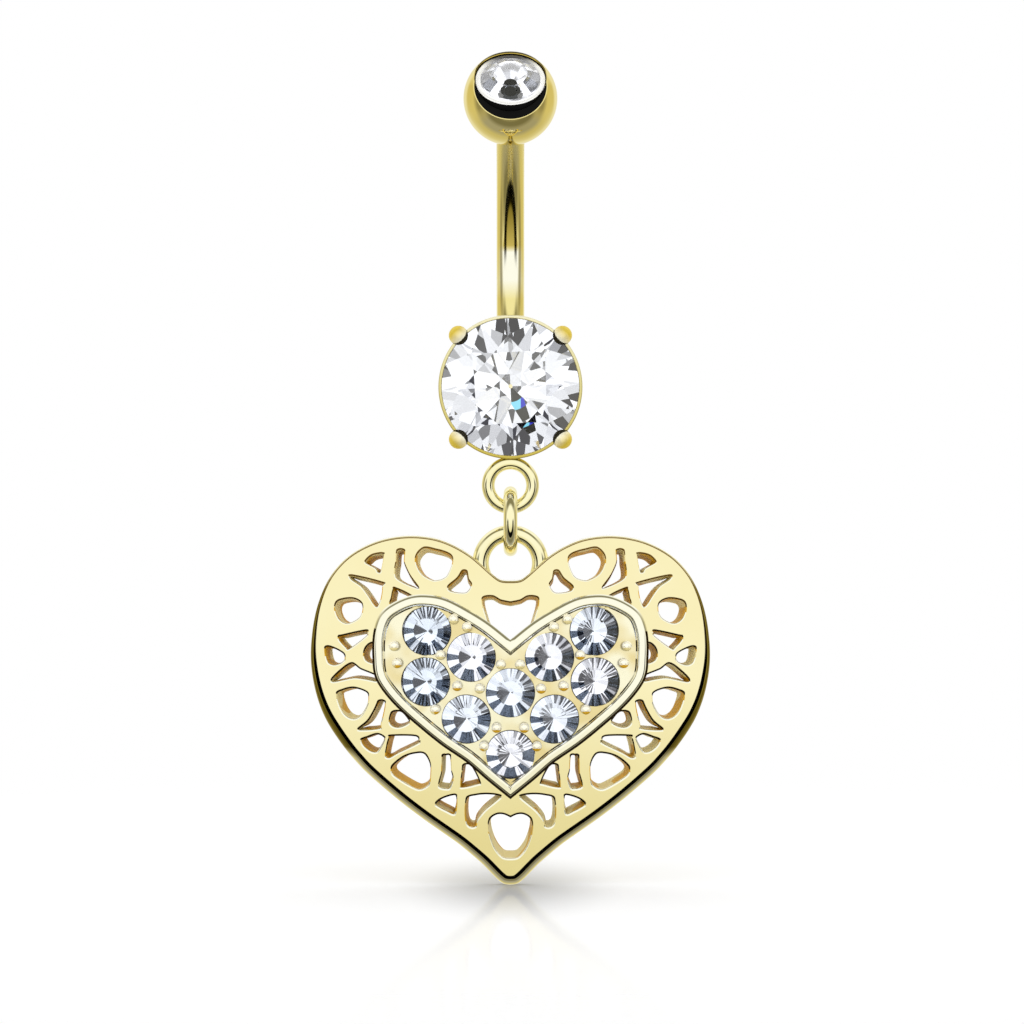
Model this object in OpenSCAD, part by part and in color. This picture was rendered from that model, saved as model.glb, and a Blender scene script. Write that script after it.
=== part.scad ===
// A navel ring: a curved bar with a screw-on ball, a stone in a four-prong basket,
// and a pierced heart pendant that hangs from the basket's eyelet by a jump ring.
// The origin is the middle of the bar's curve, where the skin sits, and the wearer
// looks along -Y, so a viewer in front of them looks along +Y. Z is up.

/* [Bar] */
// Diameter of the curved bar
bar_d = 1.6; // [1.2:0.1:2]
// Radius that the bar's centre line is bent to
bar_bend_r = 9.55; // [8.5:0.05:12]
// Angle that each half of the bar turns through
bar_half_angle = 45; // [38:1:50]
// Diameter of the plain pin that carries the ball
pin_d = 1.2; // [0.8:0.05:1.2]
// Length of the pin beyond the bar's shoulder
pin_l = 2.1; // [1.4:0.1:2.2]

/* [Ball] */
// Diameter of the ball
ball_d = 5.4; // [5.2:0.1:6.5]
// Diameter of the flat under the ball, which meets the bar's shoulder
foot_d = 1.9; // [1.7:0.1:2.4]
// Diameter of the dark mouth round the small crystal
mouth_d = 4.4; // [4.2:0.1:4.6]
// Angle by which the mouth leans further forward than the crystal
mouth_lean = 20; // [0:1:24]
// Outer diameter of the white collar
collar_d = 4.02; // [3.7:0.02:4.1]
// Width of the collar's top edge
collar_w = 0.34; // [0.2:0.02:0.5]
// Depth of the collar
collar_l = 1.1; // [0.9:0.05:1.2]
// How far the collar's top stands above the ball's centre
collar_up = 1.46; // [1.4:0.02:1.7]

/* [Main stone and basket] */
// Diameter of the main stone
stone_d = 7.85; // [6:0.05:9]
// Width of the metal that shows round the stone
seat_lip = 0.14; // [0.1:0.02:0.4]
// Depth of the seat ring behind the stone's edge
seat_depth = 0.6; // [0.4:0.05:1]
// Diameter of the wire of the prongs
prong_d = 0.8; // [0.6:0.05:1]
// Diameter of the bead at each prong's tip
prong_bead_d = 1.1; // [0.8:0.05:1.4]
// Distance from the stone's edge out to the middle of each bead
prong_out = 0.27; // [0.1:0.01:0.5]
// Diameter of the wire of the lower ring that ties the prongs
tie_d = 0.55; // [0.4:0.05:0.8]
// Thickness of the cup at the stone's point, which the bar is soldered to
cup_t = 0.75; // [0.5:0.05:1.2]
// Distance from the bar's end down to the stone's middle
stone_drop = 1.13; // [0.8:0.01:1.3]

/* [Rings] */
// Outer diameter of the eyelet under the basket
eyelet_d = 3.28; // [3:0.02:4]
// Diameter of the eyelet's wire
eyelet_wire = 0.74; // [0.5:0.02:0.8]
// Outer diameter of the jump ring
jump_d = 4.02; // [3.8:0.02:5]
// Diameter of the jump ring's wire
jump_wire = 0.8; // [0.5:0.02:0.85]
// Outer diameter of the bail on the heart
bail_d = 4.35; // [4:0.05:5]
// Diameter of the bail's wire
bail_wire = 0.95; // [0.7:0.05:1]
// Overlap of two metal pieces that are soldered
solder = 0.12; // [0.06:0.02:0.2]

/* [Heart] */
// Width of the heart
heart_w = 22.84; // [20:0.02:26]
// Height of the heart
heart_h = 20.03; // [18:0.01:23]
// Thickness of the pierced plate
plate_t = 1.4; // [1.2:0.05:1.8]
// Radius of the gentle dome that the plate is pressed to
dome_r = 45; // [36:1:80]
// Distance from the tops of the lobes down to the bail's middle
bail_inset = 1.53; // [1.4:0.01:1.7]
// Depth of the plate's face in front of the bail's wire
bail_cover = 0.35; // [0.3:0.05:0.4]

/* [Tray of small stones] */
// Height of the tray's rim above the plate
tray_rise = 0.85; // [0.7:0.05:1.2]
// Height of the tray's floor above the plate
floor_rise = 0.4; // [0.3:0.05:0.6]
// Width of the tray's rim
rim_w = 0.63; // [0.4:0.01:0.8]
// Diameter of each small stone
small_d = 2.76; // [2.3:0.02:2.78]
// Height of the small stones' edge above the tray's floor
small_lift = 0.1; // [0.05:0.01:0.2]
// Diameter of the metal beads that hold the small stones
bead_d = 0.58; // [0.4:0.02:0.7]
// Height of the beads' tops above the tray's floor
bead_h = 0.6; // [0.4:0.02:0.8]

/* [Fits] */
// Clearance between a stone and its setting, and under the ball
fit_gap = 0.05; // [0.03:0.01:0.08]
// Clearance between two links that hang in each other
link_gap = 0.05; // [0.03:0.01:0.1]
// Radial clearance of the pin in the ball
pin_gap = 0.04; // [0.02:0.01:0.06]

/* [Hidden] */
$fn = 64;

small_spots = [
    // x, z: across as a share of half the heart's width, up as a share of its height
    [-0.415, 0.731], [0.415, 0.731],
    [-0.194, 0.658], [0.194, 0.658],
    [-0.420, 0.588], [0.420, 0.588],
    [0, 0.558],
    [-0.2185, 0.483], [0.2185, 0.483],
    [0, 0.383],
];

gold = "gold";
crystal = "aliceblue";

// Shares of a cut stone's diameter
table_share = 0.56;
crown_share = 0.155;
girdle_share = 0.03;
pavilion_share = 0.43;
culet_share = 0.03;

// The bar's ends
end_y = -bar_bend_r * (1 - cos(bar_half_angle));
end_z = bar_bend_r * sin(bar_half_angle);
ball_r = ball_d / 2;
gem_d = collar_d - 2 * collar_w;
ball_up = sqrt(pow(ball_r, 2) - pow(foot_d / 2, 2)) + fit_gap;

// The stone's middle, on the plane of its edge
stone_y = end_y - pavilion_share * stone_d - cup_t;
stone_z = -end_z - stone_drop;
seat_r = stone_d / 2 + fit_gap + seat_lip;

// The chain of rings, each hanging in the one above
hang_y = stone_y + seat_depth / 2;
eyelet_z = stone_z - seat_r - eyelet_d / 2 + solder;
eyelet_foot_z = eyelet_z - (eyelet_d - eyelet_wire) / 2;
jump_z = eyelet_foot_z + eyelet_wire / 2 + link_gap - (jump_d / 2 - jump_wire);
jump_foot_z = jump_z - (jump_d - jump_wire) / 2;
bail_z = jump_foot_z + jump_wire / 2 + link_gap - (bail_d / 2 - bail_wire);

// The heart, whose dome is centred behind the middle of its height
heart_top_z = bail_z + bail_inset;
heart_mid_z = heart_top_z - heart_h / 2;
bail_sag = dome_r - sqrt(pow(dome_r, 2) - pow(heart_h / 2 - bail_inset - bail_wire, 2));
face_y = hang_y - bail_wire / 2 - bail_cover - bail_sag;

// Outlines of the right half of the heart and of its tray, from the notch to the tip
heart_half = [
    // x, z: across as a share of half the heart's width, up as a share of its height
    [0, 0.874], [0.055, 0.878], [0.120, 0.908], [0.190, 0.942], [0.270, 0.970],
    [0.370, 0.992], [0.490, 1], [0.610, 0.993], [0.720, 0.972], [0.826, 0.934],
    [0.912, 0.875], [0.970, 0.796], [0.997, 0.711], [1, 0.630], [0.973, 0.544],
    [0.921, 0.469], [0.842, 0.401], [0.772, 0.353], [0.702, 0.313], [0.562, 0.245],
    [0.421, 0.184], [0.281, 0.128], [0.211, 0.096], [0.140, 0.060], [0.075, 0.021],
    [0.035, 0.003], [0, 0],
];
tray_half = [
    // x, z: the same shares
    [0, 0.707], [0.106, 0.755], [0.211, 0.792], [0.316, 0.822], [0.407, 0.832],
    [0.492, 0.829], [0.580, 0.808], [0.644, 0.777], [0.677, 0.721], [0.680, 0.650],
    [0.662, 0.591], [0.575, 0.525], [0.449, 0.460], [0.330, 0.406], [0.219, 0.363],
    [0.120, 0.314], [0, 0.258],
];

// Outlines of the gaps pierced in the right half, going round the heart from the top
gap_outlines = [
    // x, z: the same shares
    // small fan
    [[0.635, 0.952], [0.663, 0.952], [0.702, 0.945], [0.732, 0.927], [0.720, 0.919],
     [0.680, 0.907], [0.670, 0.897], [0.648, 0.898], [0.632, 0.943]],
    // tall stroke
    [[0.569, 0.961], [0.528, 0.960], [0.530, 0.927], [0.499, 0.887], [0.460, 0.857],
     [0.474, 0.852], [0.576, 0.881], [0.577, 0.927]],
    // big upper ring
    [[0.435, 0.969], [0.379, 0.965], [0.309, 0.953], [0.286, 0.931], [0.316, 0.887],
     [0.365, 0.874], [0.400, 0.876], [0.449, 0.893], [0.477, 0.923], [0.474, 0.947]],
    // arrow beside the notch
    [[0.242, 0.904], [0.216, 0.902], [0.207, 0.879], [0.193, 0.866], [0.197, 0.855],
     [0.225, 0.839], [0.292, 0.842], [0.316, 0.851], [0.309, 0.863], [0.267, 0.883]],
    // wedge
    [[0.797, 0.889], [0.639, 0.869], [0.637, 0.859], [0.646, 0.823], [0.667, 0.797],
     [0.691, 0.807], [0.709, 0.823], [0.751, 0.855], [0.802, 0.875]],
    // wedge that runs under the tray
    [[0.576, 0.854], [0.492, 0.831], [0.480, 0.808], [0.540, 0.795], [0.604, 0.803],
     [0.600, 0.823], [0.590, 0.849]],
    // side ring
    [[0.843, 0.821], [0.793, 0.824], [0.753, 0.815], [0.737, 0.796], [0.755, 0.767],
     [0.818, 0.749], [0.865, 0.763], [0.885, 0.793], [0.873, 0.813]],
    // upper leaf
    [[0.863, 0.715], [0.842, 0.718], [0.723, 0.733], [0.715, 0.723], [0.723, 0.713],
     [0.807, 0.677], [0.828, 0.681], [0.863, 0.703]],
    // side drop
    [[0.930, 0.683], [0.902, 0.685], [0.842, 0.669], [0.827, 0.653], [0.842, 0.639],
     [0.884, 0.630], [0.919, 0.639], [0.933, 0.667]],
    // ring half under the tray
    [[0.681, 0.699], [0.716, 0.691], [0.737, 0.671], [0.734, 0.651], [0.709, 0.639],
     [0.660, 0.636], [0.620, 0.648], [0.620, 0.690]],
    // lower leaf
    [[0.793, 0.639], [0.751, 0.623], [0.667, 0.603], [0.670, 0.586], [0.702, 0.588],
     [0.786, 0.594], [0.884, 0.582], [0.897, 0.592], [0.842, 0.623]],
    // big side ring
    [[0.874, 0.550], [0.842, 0.562], [0.786, 0.569], [0.723, 0.558], [0.708, 0.542],
     [0.716, 0.518], [0.751, 0.486], [0.793, 0.477], [0.835, 0.490], [0.863, 0.518]],
    // leaning stroke
    [[0.660, 0.532], [0.628, 0.530], [0.628, 0.510], [0.646, 0.466], [0.656, 0.450],
     [0.751, 0.445], [0.762, 0.452], [0.716, 0.474], [0.680, 0.510]],
    // small ring beside the tray
    [[0.565, 0.504], [0.595, 0.499], [0.610, 0.474], [0.595, 0.459], [0.565, 0.454],
     [0.528, 0.460], [0.504, 0.471], [0.516, 0.485], [0.540, 0.500]],
    // drop by the edge
    [[0.751, 0.419], [0.716, 0.428], [0.667, 0.437], [0.632, 0.428], [0.632, 0.417],
     [0.660, 0.389], [0.680, 0.382], [0.709, 0.387], [0.740, 0.402]],
    // long leaf
    [[0.597, 0.433], [0.477, 0.433], [0.456, 0.419], [0.463, 0.409], [0.562, 0.381],
     [0.604, 0.367], [0.628, 0.371], [0.625, 0.393], [0.611, 0.425]],
    // big lower ring
    [[0.593, 0.345], [0.534, 0.373], [0.470, 0.384], [0.428, 0.381], [0.400, 0.353],
     [0.397, 0.325], [0.407, 0.293], [0.449, 0.277], [0.492, 0.283], [0.569, 0.309],
     [0.597, 0.325]],
    // slot
    [[0.344, 0.373], [0.323, 0.379], [0.299, 0.375], [0.293, 0.333], [0.285, 0.309],
     [0.302, 0.283], [0.323, 0.279], [0.362, 0.287], [0.348, 0.325]],
    // small fan by the tray's tip
    [[0.239, 0.347], [0.218, 0.353], [0.190, 0.345], [0.151, 0.301], [0.162, 0.293],
     [0.239, 0.283], [0.252, 0.291], [0.246, 0.325]],
    // lower fan
    [[0.376, 0.237], [0.344, 0.253], [0.285, 0.264], [0.268, 0.257], [0.267, 0.229],
     [0.281, 0.206], [0.316, 0.213], [0.362, 0.227]],
    // lower leaf by the middle
    [[0.221, 0.253], [0.183, 0.263], [0.120, 0.267], [0.057, 0.263], [0.053, 0.253],
     [0.120, 0.221], [0.162, 0.192], [0.172, 0.172], [0.197, 0.168], [0.221, 0.180],
     [0.230, 0.213]],
];

// Right halves of the two gaps that lie across the middle, from top to bottom
middle_gap_halves = [
    // x, z: the same shares
    // under the bail, down behind the tray's notch
    [[0, 0.815], [0.050, 0.821], [0.085, 0.832], [0.130, 0.831], [0.145, 0.817],
     [0.127, 0.775], [0.095, 0.735], [0, 0.690]],
    // above the tip
    [[0, 0.200], [0.030, 0.208], [0.065, 0.209], [0.100, 0.197], [0.114, 0.175],
     [0.105, 0.143], [0.080, 0.108], [0.040, 0.081], [0, 0.077]],
];

bead_spots = [
    // x, z: the same shares, for the right half
    [0.281, 0.764], [0.214, 0.742], [0.573, 0.688], [0.558, 0.640], [0.344, 0.664],
    [0.047, 0.638], [0.262, 0.577], [0.151, 0.570], [0.371, 0.511], [0.068, 0.460],
    [0.130, 0.408],
];

// Half section of a cut stone of diameter d, as [radius, height] corners from its point up
function stone_section(d, gap = 0) = [
    [0, -pavilion_share * d - gap],
    [culet_share * d / 2 + gap, -pavilion_share * d - gap],
    [d / 2 + gap, -girdle_share * d / 2 - gap / 2],
    [d / 2 + gap, girdle_share * d / 2 + gap / 2],
    [table_share * d / 2 + gap, crown_share * d + gap],
    [0, crown_share * d + gap],
];

// Four-point curves: each pass puts one new point between each two
function new_point(a, b, c, d) = (9 * (b + c) - a - d) / 16;
function open_curve(p, passes = 1) =
    passes == 0 ? p :
    let (
        last = len(p) - 1,
        at = function (i) i < 0 ? 2 * p[0] - p[1] :
            i > last ? 2 * p[last] - p[last - 1] : p[i]
    )
    open_curve([
        for (i = [0 : last])
            each i == last ? [p[i]] : [p[i], new_point(at(i - 1), p[i], p[i + 1], at(i + 2))]
    ], passes - 1);
function closed_curve(p, passes = 1) =
    passes == 0 ? p :
    let (n = len(p))
    closed_curve([
        for (i = [0 : n - 1])
            each [p[i], new_point(p[(i + n - 1) % n], p[i], p[(i + 1) % n], p[(i + 2) % n])]
    ], passes - 1);

// A point given as shares, measured from the middle of the heart's height
function spot(p) = [p[0] * heart_w / 2, (p[1] - 0.5) * heart_h];
function spots(list) = [for (p = list) spot(p)];
function mirrored(list) = [for (i = [len(list) - 1 : -1 : 0]) [-list[i][0], list[i][1]]];
function whole(half) = concat(half, mirrored([for (i = [1 : len(half) - 2]) half[i]]));
function middle(list) = [for (p = list) 1] * list / len(list);

module ring(outer_d, wire_d) {
    rotate_extrude() translate([(outer_d - wire_d) / 2, 0]) circle(d = wire_d);
}

module rod(from, to, d) {
    way = to - from;
    translate(from)
        rotate([0, acos(way.z / norm(way)), atan2(way.y, way.x)])
            cylinder(h = norm(way), d = d);
}

module cut_stone(d) {
    section = stone_section(d);
    point = section[1];
    edge = section[2];
    top = section[4];
    hull() {
        translate([0, 0, point.y]) cylinder(h = point.x, r = point.x, $fn = 8);
        translate([0, 0, edge.y]) cylinder(h = -2 * edge.y, r = edge.x, $fn = 16);
        rotate(180 / 8) cylinder(h = top.y, r = top.x, $fn = 8);
    }
}

// The space that a cut stone of diameter d needs, open towards the front
module stone_space(d) {
    rotate_extrude() polygon(stone_section(d, fit_gap));
}

// Puts its children at the bar's top end, with their Z along the bar
module at_bar_top() {
    translate([0, end_y, end_z]) rotate([bar_half_angle, 0, 0]) children();
}

// Puts its children in the middle of the ball
module in_ball() {
    at_bar_top() translate([0, 0, ball_up]) children();
}

// Puts its children at the main stone's middle, with their Z towards the viewer
module at_stone() {
    translate([0, stone_y, stone_z]) rotate([90, 0, 0]) children();
}

// Puts its children at the centre of the heart's dome, with their Z towards the viewer
module in_heart() {
    translate([0, face_y + dome_r, heart_mid_z]) rotate([90, 0, 0]) children();
}

// Puts its children on the dome, rise above the plate, with their Z square to it
module on_dome(p, rise) {
    r = dome_r + rise;
    lat = asin(p.y / r);
    rotate([-lat, asin(p.x / (r * cos(lat))), 0]) translate([0, 0, r]) children();
}

// The bar's lower end runs on into the cup by half its diameter
module bent_bar() {
    run_on = asin(bar_d / 2 / bar_bend_r);
    rotate([0, 90, 0]) translate([0, -bar_bend_r, 0])
        rotate([0, 0, 90 - bar_half_angle - run_on])
            rotate_extrude(angle = 2 * bar_half_angle + run_on)
                translate([bar_bend_r, 0]) circle(d = bar_d);
}

module basket() {
    cup_back = -pavilion_share * stone_d - cup_t;
    cup_r = stone_drop + bar_d / 2;
    foot = [cup_r - prong_d / 2, 0, cup_back + cup_t];
    knee = [stone_d / 2 + prong_out, 0, -seat_depth / 2];
    tip = [knee.x, 0, prong_bead_d / 2];
    tie = (foot + knee) / 2;
    difference() {
        union() {
            translate([0, 0, cup_back])
                cylinder(h = 2 * cup_t, r1 = cup_r - cup_t / 3, r2 = cup_r);
            translate([0, 0, -seat_depth]) cylinder(h = seat_depth + fit_gap, r = seat_r);
            translate([0, 0, tie.z]) ring(2 * tie.x + tie_d, tie_d);
            for (k = [0 : 3]) rotate(45 + 90 * k) {
                rod(foot, knee, prong_d);
                translate(knee) sphere(d = prong_d + solder);
                rod(knee, tip, prong_d);
                translate(tip) sphere(d = prong_bead_d);
            }
        }
        stone_space(stone_d);
    }
}

module barbell() {
    color(gold) {
        bent_bar();
        at_bar_top() cylinder(h = pin_l, d = pin_d);
        at_stone() basket();
        translate([0, hang_y, eyelet_z]) rotate([90, 0, 0]) ring(eyelet_d, eyelet_wire);
    }
}

module main_stone() {
    color(crystal) at_stone() cut_stone(stone_d);
}

module top_ball() {
    mouth_up = sqrt(pow(ball_r, 2) - pow(mouth_d / 2, 2));
    color(gold) in_ball() difference() {
        sphere(d = ball_d);
        translate([0, 0, -ball_r]) cylinder(h = ball_r - ball_up + fit_gap, r = ball_r);
        translate([0, 0, -ball_up - fit_gap])
            cylinder(h = pin_l + 3 * fit_gap, r = pin_d / 2 + pin_gap);
        rotate([mouth_lean, 0, 0]) translate([0, 0, mouth_up]) cylinder(h = ball_r, r = ball_r);
        translate([0, 0, collar_up - collar_l - fit_gap])
            cylinder(h = ball_d, r = collar_d / 2 + fit_gap);
        translate([0, 0, collar_up]) stone_space(gem_d);
    }
}

module gem_collar() {
    color("white") in_ball() translate([0, 0, collar_up - collar_l]) difference() {
        cylinder(h = collar_l, d = collar_d);
        translate([0, 0, collar_l]) stone_space(gem_d);
    }
}

module top_gem() {
    color(crystal) in_ball() translate([0, 0, collar_up]) cut_stone(gem_d);
}

module jump_ring() {
    color(gold) translate([0, hang_y, jump_z]) rotate([0, 90, 0]) ring(jump_d, jump_wire);
}

// A slab of an outline, deep enough to cross the whole dome
module slab(points) {
    translate([0, 0, dome_r / 2]) linear_extrude(height = dome_r) polygon(points);
}

module dome(from_rise, to_rise) {
    difference() {
        sphere(r = dome_r + to_rise, $fn = 60);
        sphere(r = dome_r + from_rise, $fn = 60);
    }
}

module gap(points) {
    mid = middle(points);
    on_dome(mid, 0) linear_extrude(height = 3 * plate_t, center = true)
        polygon([for (p = points) p - mid]);
}

module plate() {
    difference() {
        intersection() {
            slab(whole(open_curve(spots(heart_half))));
            dome(-plate_t, 0);
        }
        for (side = [0, 1]) mirror([side, 0, 0])
            for (g = gap_outlines) gap(closed_curve(spots(g)));
        for (g = middle_gap_halves) gap(whole(open_curve(spots(g))));
    }
}

module tray() {
    outline = whole(open_curve(spots(tray_half)));
    difference() {
        intersection() {
            slab(outline);
            dome(-solder, tray_rise);
        }
        intersection() {
            translate([0, 0, dome_r / 2]) linear_extrude(height = dome_r)
                offset(delta = -rim_w) polygon(outline);
            dome(floor_rise, 2 * tray_rise);
        }
    }
}

module bead(p) {
    on_dome(p, floor_rise) hull() {
        translate([0, 0, -solder]) cylinder(h = solder, d = bead_d, $fn = 10);
        translate([0, 0, bead_h - bead_d / 2]) sphere(d = bead_d, $fn = 10);
    }
}

module heart() {
    color(gold) {
        in_heart() difference() {
            union() {
                plate();
                tray();
                for (side = [0, 1]) mirror([side, 0, 0])
                    for (p = spots(bead_spots)) bead(p);
            }
            for (p = spots(small_spots)) on_dome(p, floor_rise + small_lift)
                stone_space(small_d, $fn = 16);
        }
        translate([0, hang_y, bail_z]) rotate([90, 0, 0]) ring(bail_d, bail_wire, $fn = 24);
    }
}

module heart_stone(k) {
    color(crystal) in_heart() on_dome(spot(small_spots[k]), floor_rise + small_lift)
        cut_stone(small_d);
}

barbell();
main_stone();
top_ball();
gem_collar();
top_gem();
jump_ring();
heart();
for (k = [1 : len(small_spots)])
    heart_stone(k - 1);
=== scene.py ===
"""Looks of a navel ring with a pierced heart pendant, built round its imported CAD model."""
import math

import bmesh
import bpy
import numpy as np
from mathutils import Matrix, Vector
from mathutils.geometry import delaunay_2d_cdt


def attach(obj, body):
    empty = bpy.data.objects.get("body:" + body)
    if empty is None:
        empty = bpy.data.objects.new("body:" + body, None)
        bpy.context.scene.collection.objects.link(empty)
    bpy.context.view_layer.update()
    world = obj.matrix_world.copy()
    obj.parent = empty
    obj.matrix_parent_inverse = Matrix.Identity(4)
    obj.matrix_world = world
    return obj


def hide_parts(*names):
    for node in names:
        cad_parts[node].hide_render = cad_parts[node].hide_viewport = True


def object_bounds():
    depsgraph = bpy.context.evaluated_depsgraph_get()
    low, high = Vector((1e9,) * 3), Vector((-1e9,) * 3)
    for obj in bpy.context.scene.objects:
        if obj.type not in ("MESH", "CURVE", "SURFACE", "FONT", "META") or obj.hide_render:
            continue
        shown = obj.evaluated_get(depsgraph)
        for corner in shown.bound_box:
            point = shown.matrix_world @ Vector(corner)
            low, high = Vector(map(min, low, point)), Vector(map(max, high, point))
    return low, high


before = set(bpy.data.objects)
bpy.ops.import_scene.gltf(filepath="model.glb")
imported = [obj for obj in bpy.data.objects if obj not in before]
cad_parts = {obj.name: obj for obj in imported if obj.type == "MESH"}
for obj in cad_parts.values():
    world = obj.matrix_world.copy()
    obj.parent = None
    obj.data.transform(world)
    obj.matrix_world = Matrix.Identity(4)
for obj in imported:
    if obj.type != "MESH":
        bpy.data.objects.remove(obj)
cad_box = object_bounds()
bpy.ops.object.select_all(action="DESELECT")

# Camera
# The photograph looks straight at the hanging ring through a long lens, a little from above,
# so that the floor under the heart's tip shows. Sizes here and below are in millimetres.
MM = 0.001
PICTURE_WIDTH = 58.5
CAMERA_AWAY = 450
CAMERA_TILT = math.radians(3)
SENSOR = 36
LOOK_AT = Vector((0.09, -7.2, -15.02))

bpy.ops.object.camera_add(
    location=(LOOK_AT + CAMERA_AWAY * Vector((0, -math.cos(CAMERA_TILT), math.sin(CAMERA_TILT)))) * MM,
    rotation=(math.pi / 2 - CAMERA_TILT, 0, 0),
)
camera = bpy.context.object
camera.data.sensor_width = SENSOR
camera.data.lens = SENSOR * CAMERA_AWAY / PICTURE_WIDTH
camera.data.clip_start, camera.data.clip_end = 0.01, 10
bpy.context.scene.camera = camera

# Curved bar
# A 1.6 mm surgical-style bar, bent to an arc, gold plated and polished to a mirror. A plain
# pin at its top end takes the ball; its bottom end is soldered into the basket's cup.
BAR_D, BAR_BEND_R, BAR_HALF_ANGLE = 1.6, 9.55, math.radians(45)
PIN_D, PIN_L, PIN_ROOT = 1.2, 2.1, 0.2
END_Y = -BAR_BEND_R * (1 - math.cos(BAR_HALF_ANGLE))
END_Z = BAR_BEND_R * math.sin(BAR_HALF_ANGLE)
BAR_RUN_ON = math.asin(BAR_D / 2 / BAR_BEND_R)


class Socket:
    """A node's output, so that shader maths reads as a Python expression."""

    def __init__(self, material, out):
        self.material, self.out = material, out

    def math(self, operation, other=None):
        values = {0: self} if other is None else {0: self, 1: other}
        return self.material.node("ShaderNodeMath", {"operation": operation}, values)

    def __add__(self, other):
        return self.math("ADD", other)

    def __sub__(self, other):
        return self.math("SUBTRACT", other)

    def __rsub__(self, other):
        return (self * -1) + other

    def __mul__(self, other):
        return self.math("MULTIPLY", other)

    def __gt__(self, other):
        return self.math("GREATER_THAN", other)

    __radd__, __rmul__ = __add__, __mul__


class Finish:
    """A node material or the world's light, made by adding nodes one by one. Its places and
    lengths are in metres, as in the finished pieces."""

    def __init__(self, name, owner=None):
        self.data = owner or bpy.data.materials.new(name)
        self.data.use_nodes = True
        self.tree = self.data.node_tree
        self.tree.nodes.clear()

    def node(self, kind, settings=None, values=None, out=0):
        made = self.tree.nodes.new(kind)
        for key, value in (settings or {}).items():
            setattr(made, key, value)
        for key, value in (values or {}).items():
            socket = made.inputs[key]
            if isinstance(value, Socket):
                self.tree.links.new(value.out, socket)
            elif socket.type == "RGBA":
                socket.default_value = (*value, 1)
            else:
                socket.default_value = value
        return Socket(self, made.outputs[out]) if made.outputs else None

    def places(self):
        return self.node("ShaderNodeTexCoord", out="Object")

    def noise(self, scale, detail=2, stretch=(1, 1, 1)):
        spread = self.node("ShaderNodeMapping", {}, {"Vector": self.places(), "Scale": stretch})
        return self.node("ShaderNodeTexNoise", {}, {"Vector": spread, "Scale": scale, "Detail": detail})

    def blend(self, share, first, second):
        return self.node(
            "ShaderNodeMix", {"data_type": "RGBA"}, {0: share, 6: first, 7: second}, out=2
        )

    def ranged(self, value, from_low, from_high, to_low, to_high):
        return self.node(
            "ShaderNodeMapRange",
            {"clamp": True},
            {"Value": value, 1: from_low, 2: from_high, 3: to_low, 4: to_high},
        )

    def along(self, axis, places=None):
        """The shaded point's place along X, Y or Z."""
        return self.node("ShaderNodeSeparateXYZ", {}, {"Vector": places or self.places()}, out=axis)

    def vector(self, operation, *values, out=0):
        settings = {"operation": operation}
        return self.node("ShaderNodeVectorMath", settings, dict(enumerate(values)), out)

    def length(self, vector):
        return self.vector("LENGTH", vector, out="Value")

    def haze(self, smooth, rough, scale=1500, detail=4, most=0.8):
        """Roughness that drifts between smooth and rough in fine patches."""
        return self.ranged(self.noise(scale, detail), 0.3, most, smooth, rough)

    def surface(self, **sockets):
        shader = self.node(
            "ShaderNodeBsdfPrincipled", {}, {k.replace("_", " "): v for k, v in sockets.items()}
        )
        self.node("ShaderNodeOutputMaterial", {}, {"Surface": shader})
        return self.data


def polished_gold(name, pale, deep, cloudiness=420, wear=0.035):
    """Gold plate polished to a mirror: its shade drifts a little, with fine polishing lines."""
    finish = Finish(name)
    shade = finish.ranged(finish.noise(cloudiness, detail=3), 0.3, 0.7, 0, 1)
    lines = finish.noise(9000, stretch=(1, 1, 6))
    relief = finish.node(
        "ShaderNodeBump", {}, {"Height": lines, "Strength": 0.02, "Distance": 0.00001}
    )
    return finish.surface(
        Base_Color=finish.blend(shade, pale, deep),
        Metallic=1.0,
        Roughness=finish.haze(wear, wear * 2.6),
        Normal=relief,
    )


deep_gold = polished_gold("deep_gold", (0.91, 0.80, 0.40), (0.89, 0.76, 0.34))
link_gold = polished_gold("link_gold", (1.0, 0.95, 0.70), (0.99, 0.93, 0.64))

# The bar has a painted highlight, almost white, where it bulges forward above the basket. Above that
# its front has a painted dark reflection, yellow below and olive above, in a stretch that narrows
# upwards to a point. Each pair holds the two places, in metres, between which a change comes in.
HIGHLIGHT_FOOT, HIGHLIGHT_HEAD, HIGHLIGHT_FRONT = (-0.0030, -0.0019), (-0.0003, 0.0001), (-0.0007, -0.0003)
STREAK_HALF_WIDTH, STREAK_EDGE, STREAK_POINT, STREAK_FRONT = 0.00046, 0.00004, 0.0040, (-0.0004, -0.0002)
OLIVE_FROM, OLIVE_TO, MATT_HEAD = 0.0, 0.0031, (0.0034, 0.0056)
BAR_PLAIN, BAR_HIGHLIGHT = (0.90, 0.79, 0.38), (1.0, 0.98, 0.92)
BAR_STREAK_YELLOW, BAR_OLIVE = (0.58, 0.45, 0.12), (0.14, 0.105, 0.005)
bar_gold = Finish("bar_gold")
bar_side, bar_back, bar_up = (bar_gold.along(axis) for axis in "XYZ")
painted_highlight = bar_gold.ranged(bar_up, *HIGHLIGHT_FOOT, 0, 1) * bar_gold.ranged(bar_up, *HIGHLIGHT_HEAD, 1, 0)
painted_highlight = painted_highlight * bar_gold.ranged(bar_back, *HIGHLIGHT_FRONT, 1, 0)
streak_room = bar_gold.ranged(bar_up, 0, STREAK_POINT, STREAK_HALF_WIDTH, 0) - bar_side.math("ABSOLUTE")
painted_dark_streak = bar_gold.ranged(streak_room, 0, STREAK_EDGE, 0, 1) * bar_gold.ranged(bar_up, *HIGHLIGHT_HEAD, 0, 1)
painted_dark_streak = painted_dark_streak * bar_gold.ranged(bar_back, *STREAK_FRONT, 1, 0)
streak_shade = bar_gold.blend(bar_gold.ranged(bar_up, OLIVE_FROM, OLIVE_TO, 0, 1), BAR_STREAK_YELLOW, BAR_OLIVE)
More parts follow.
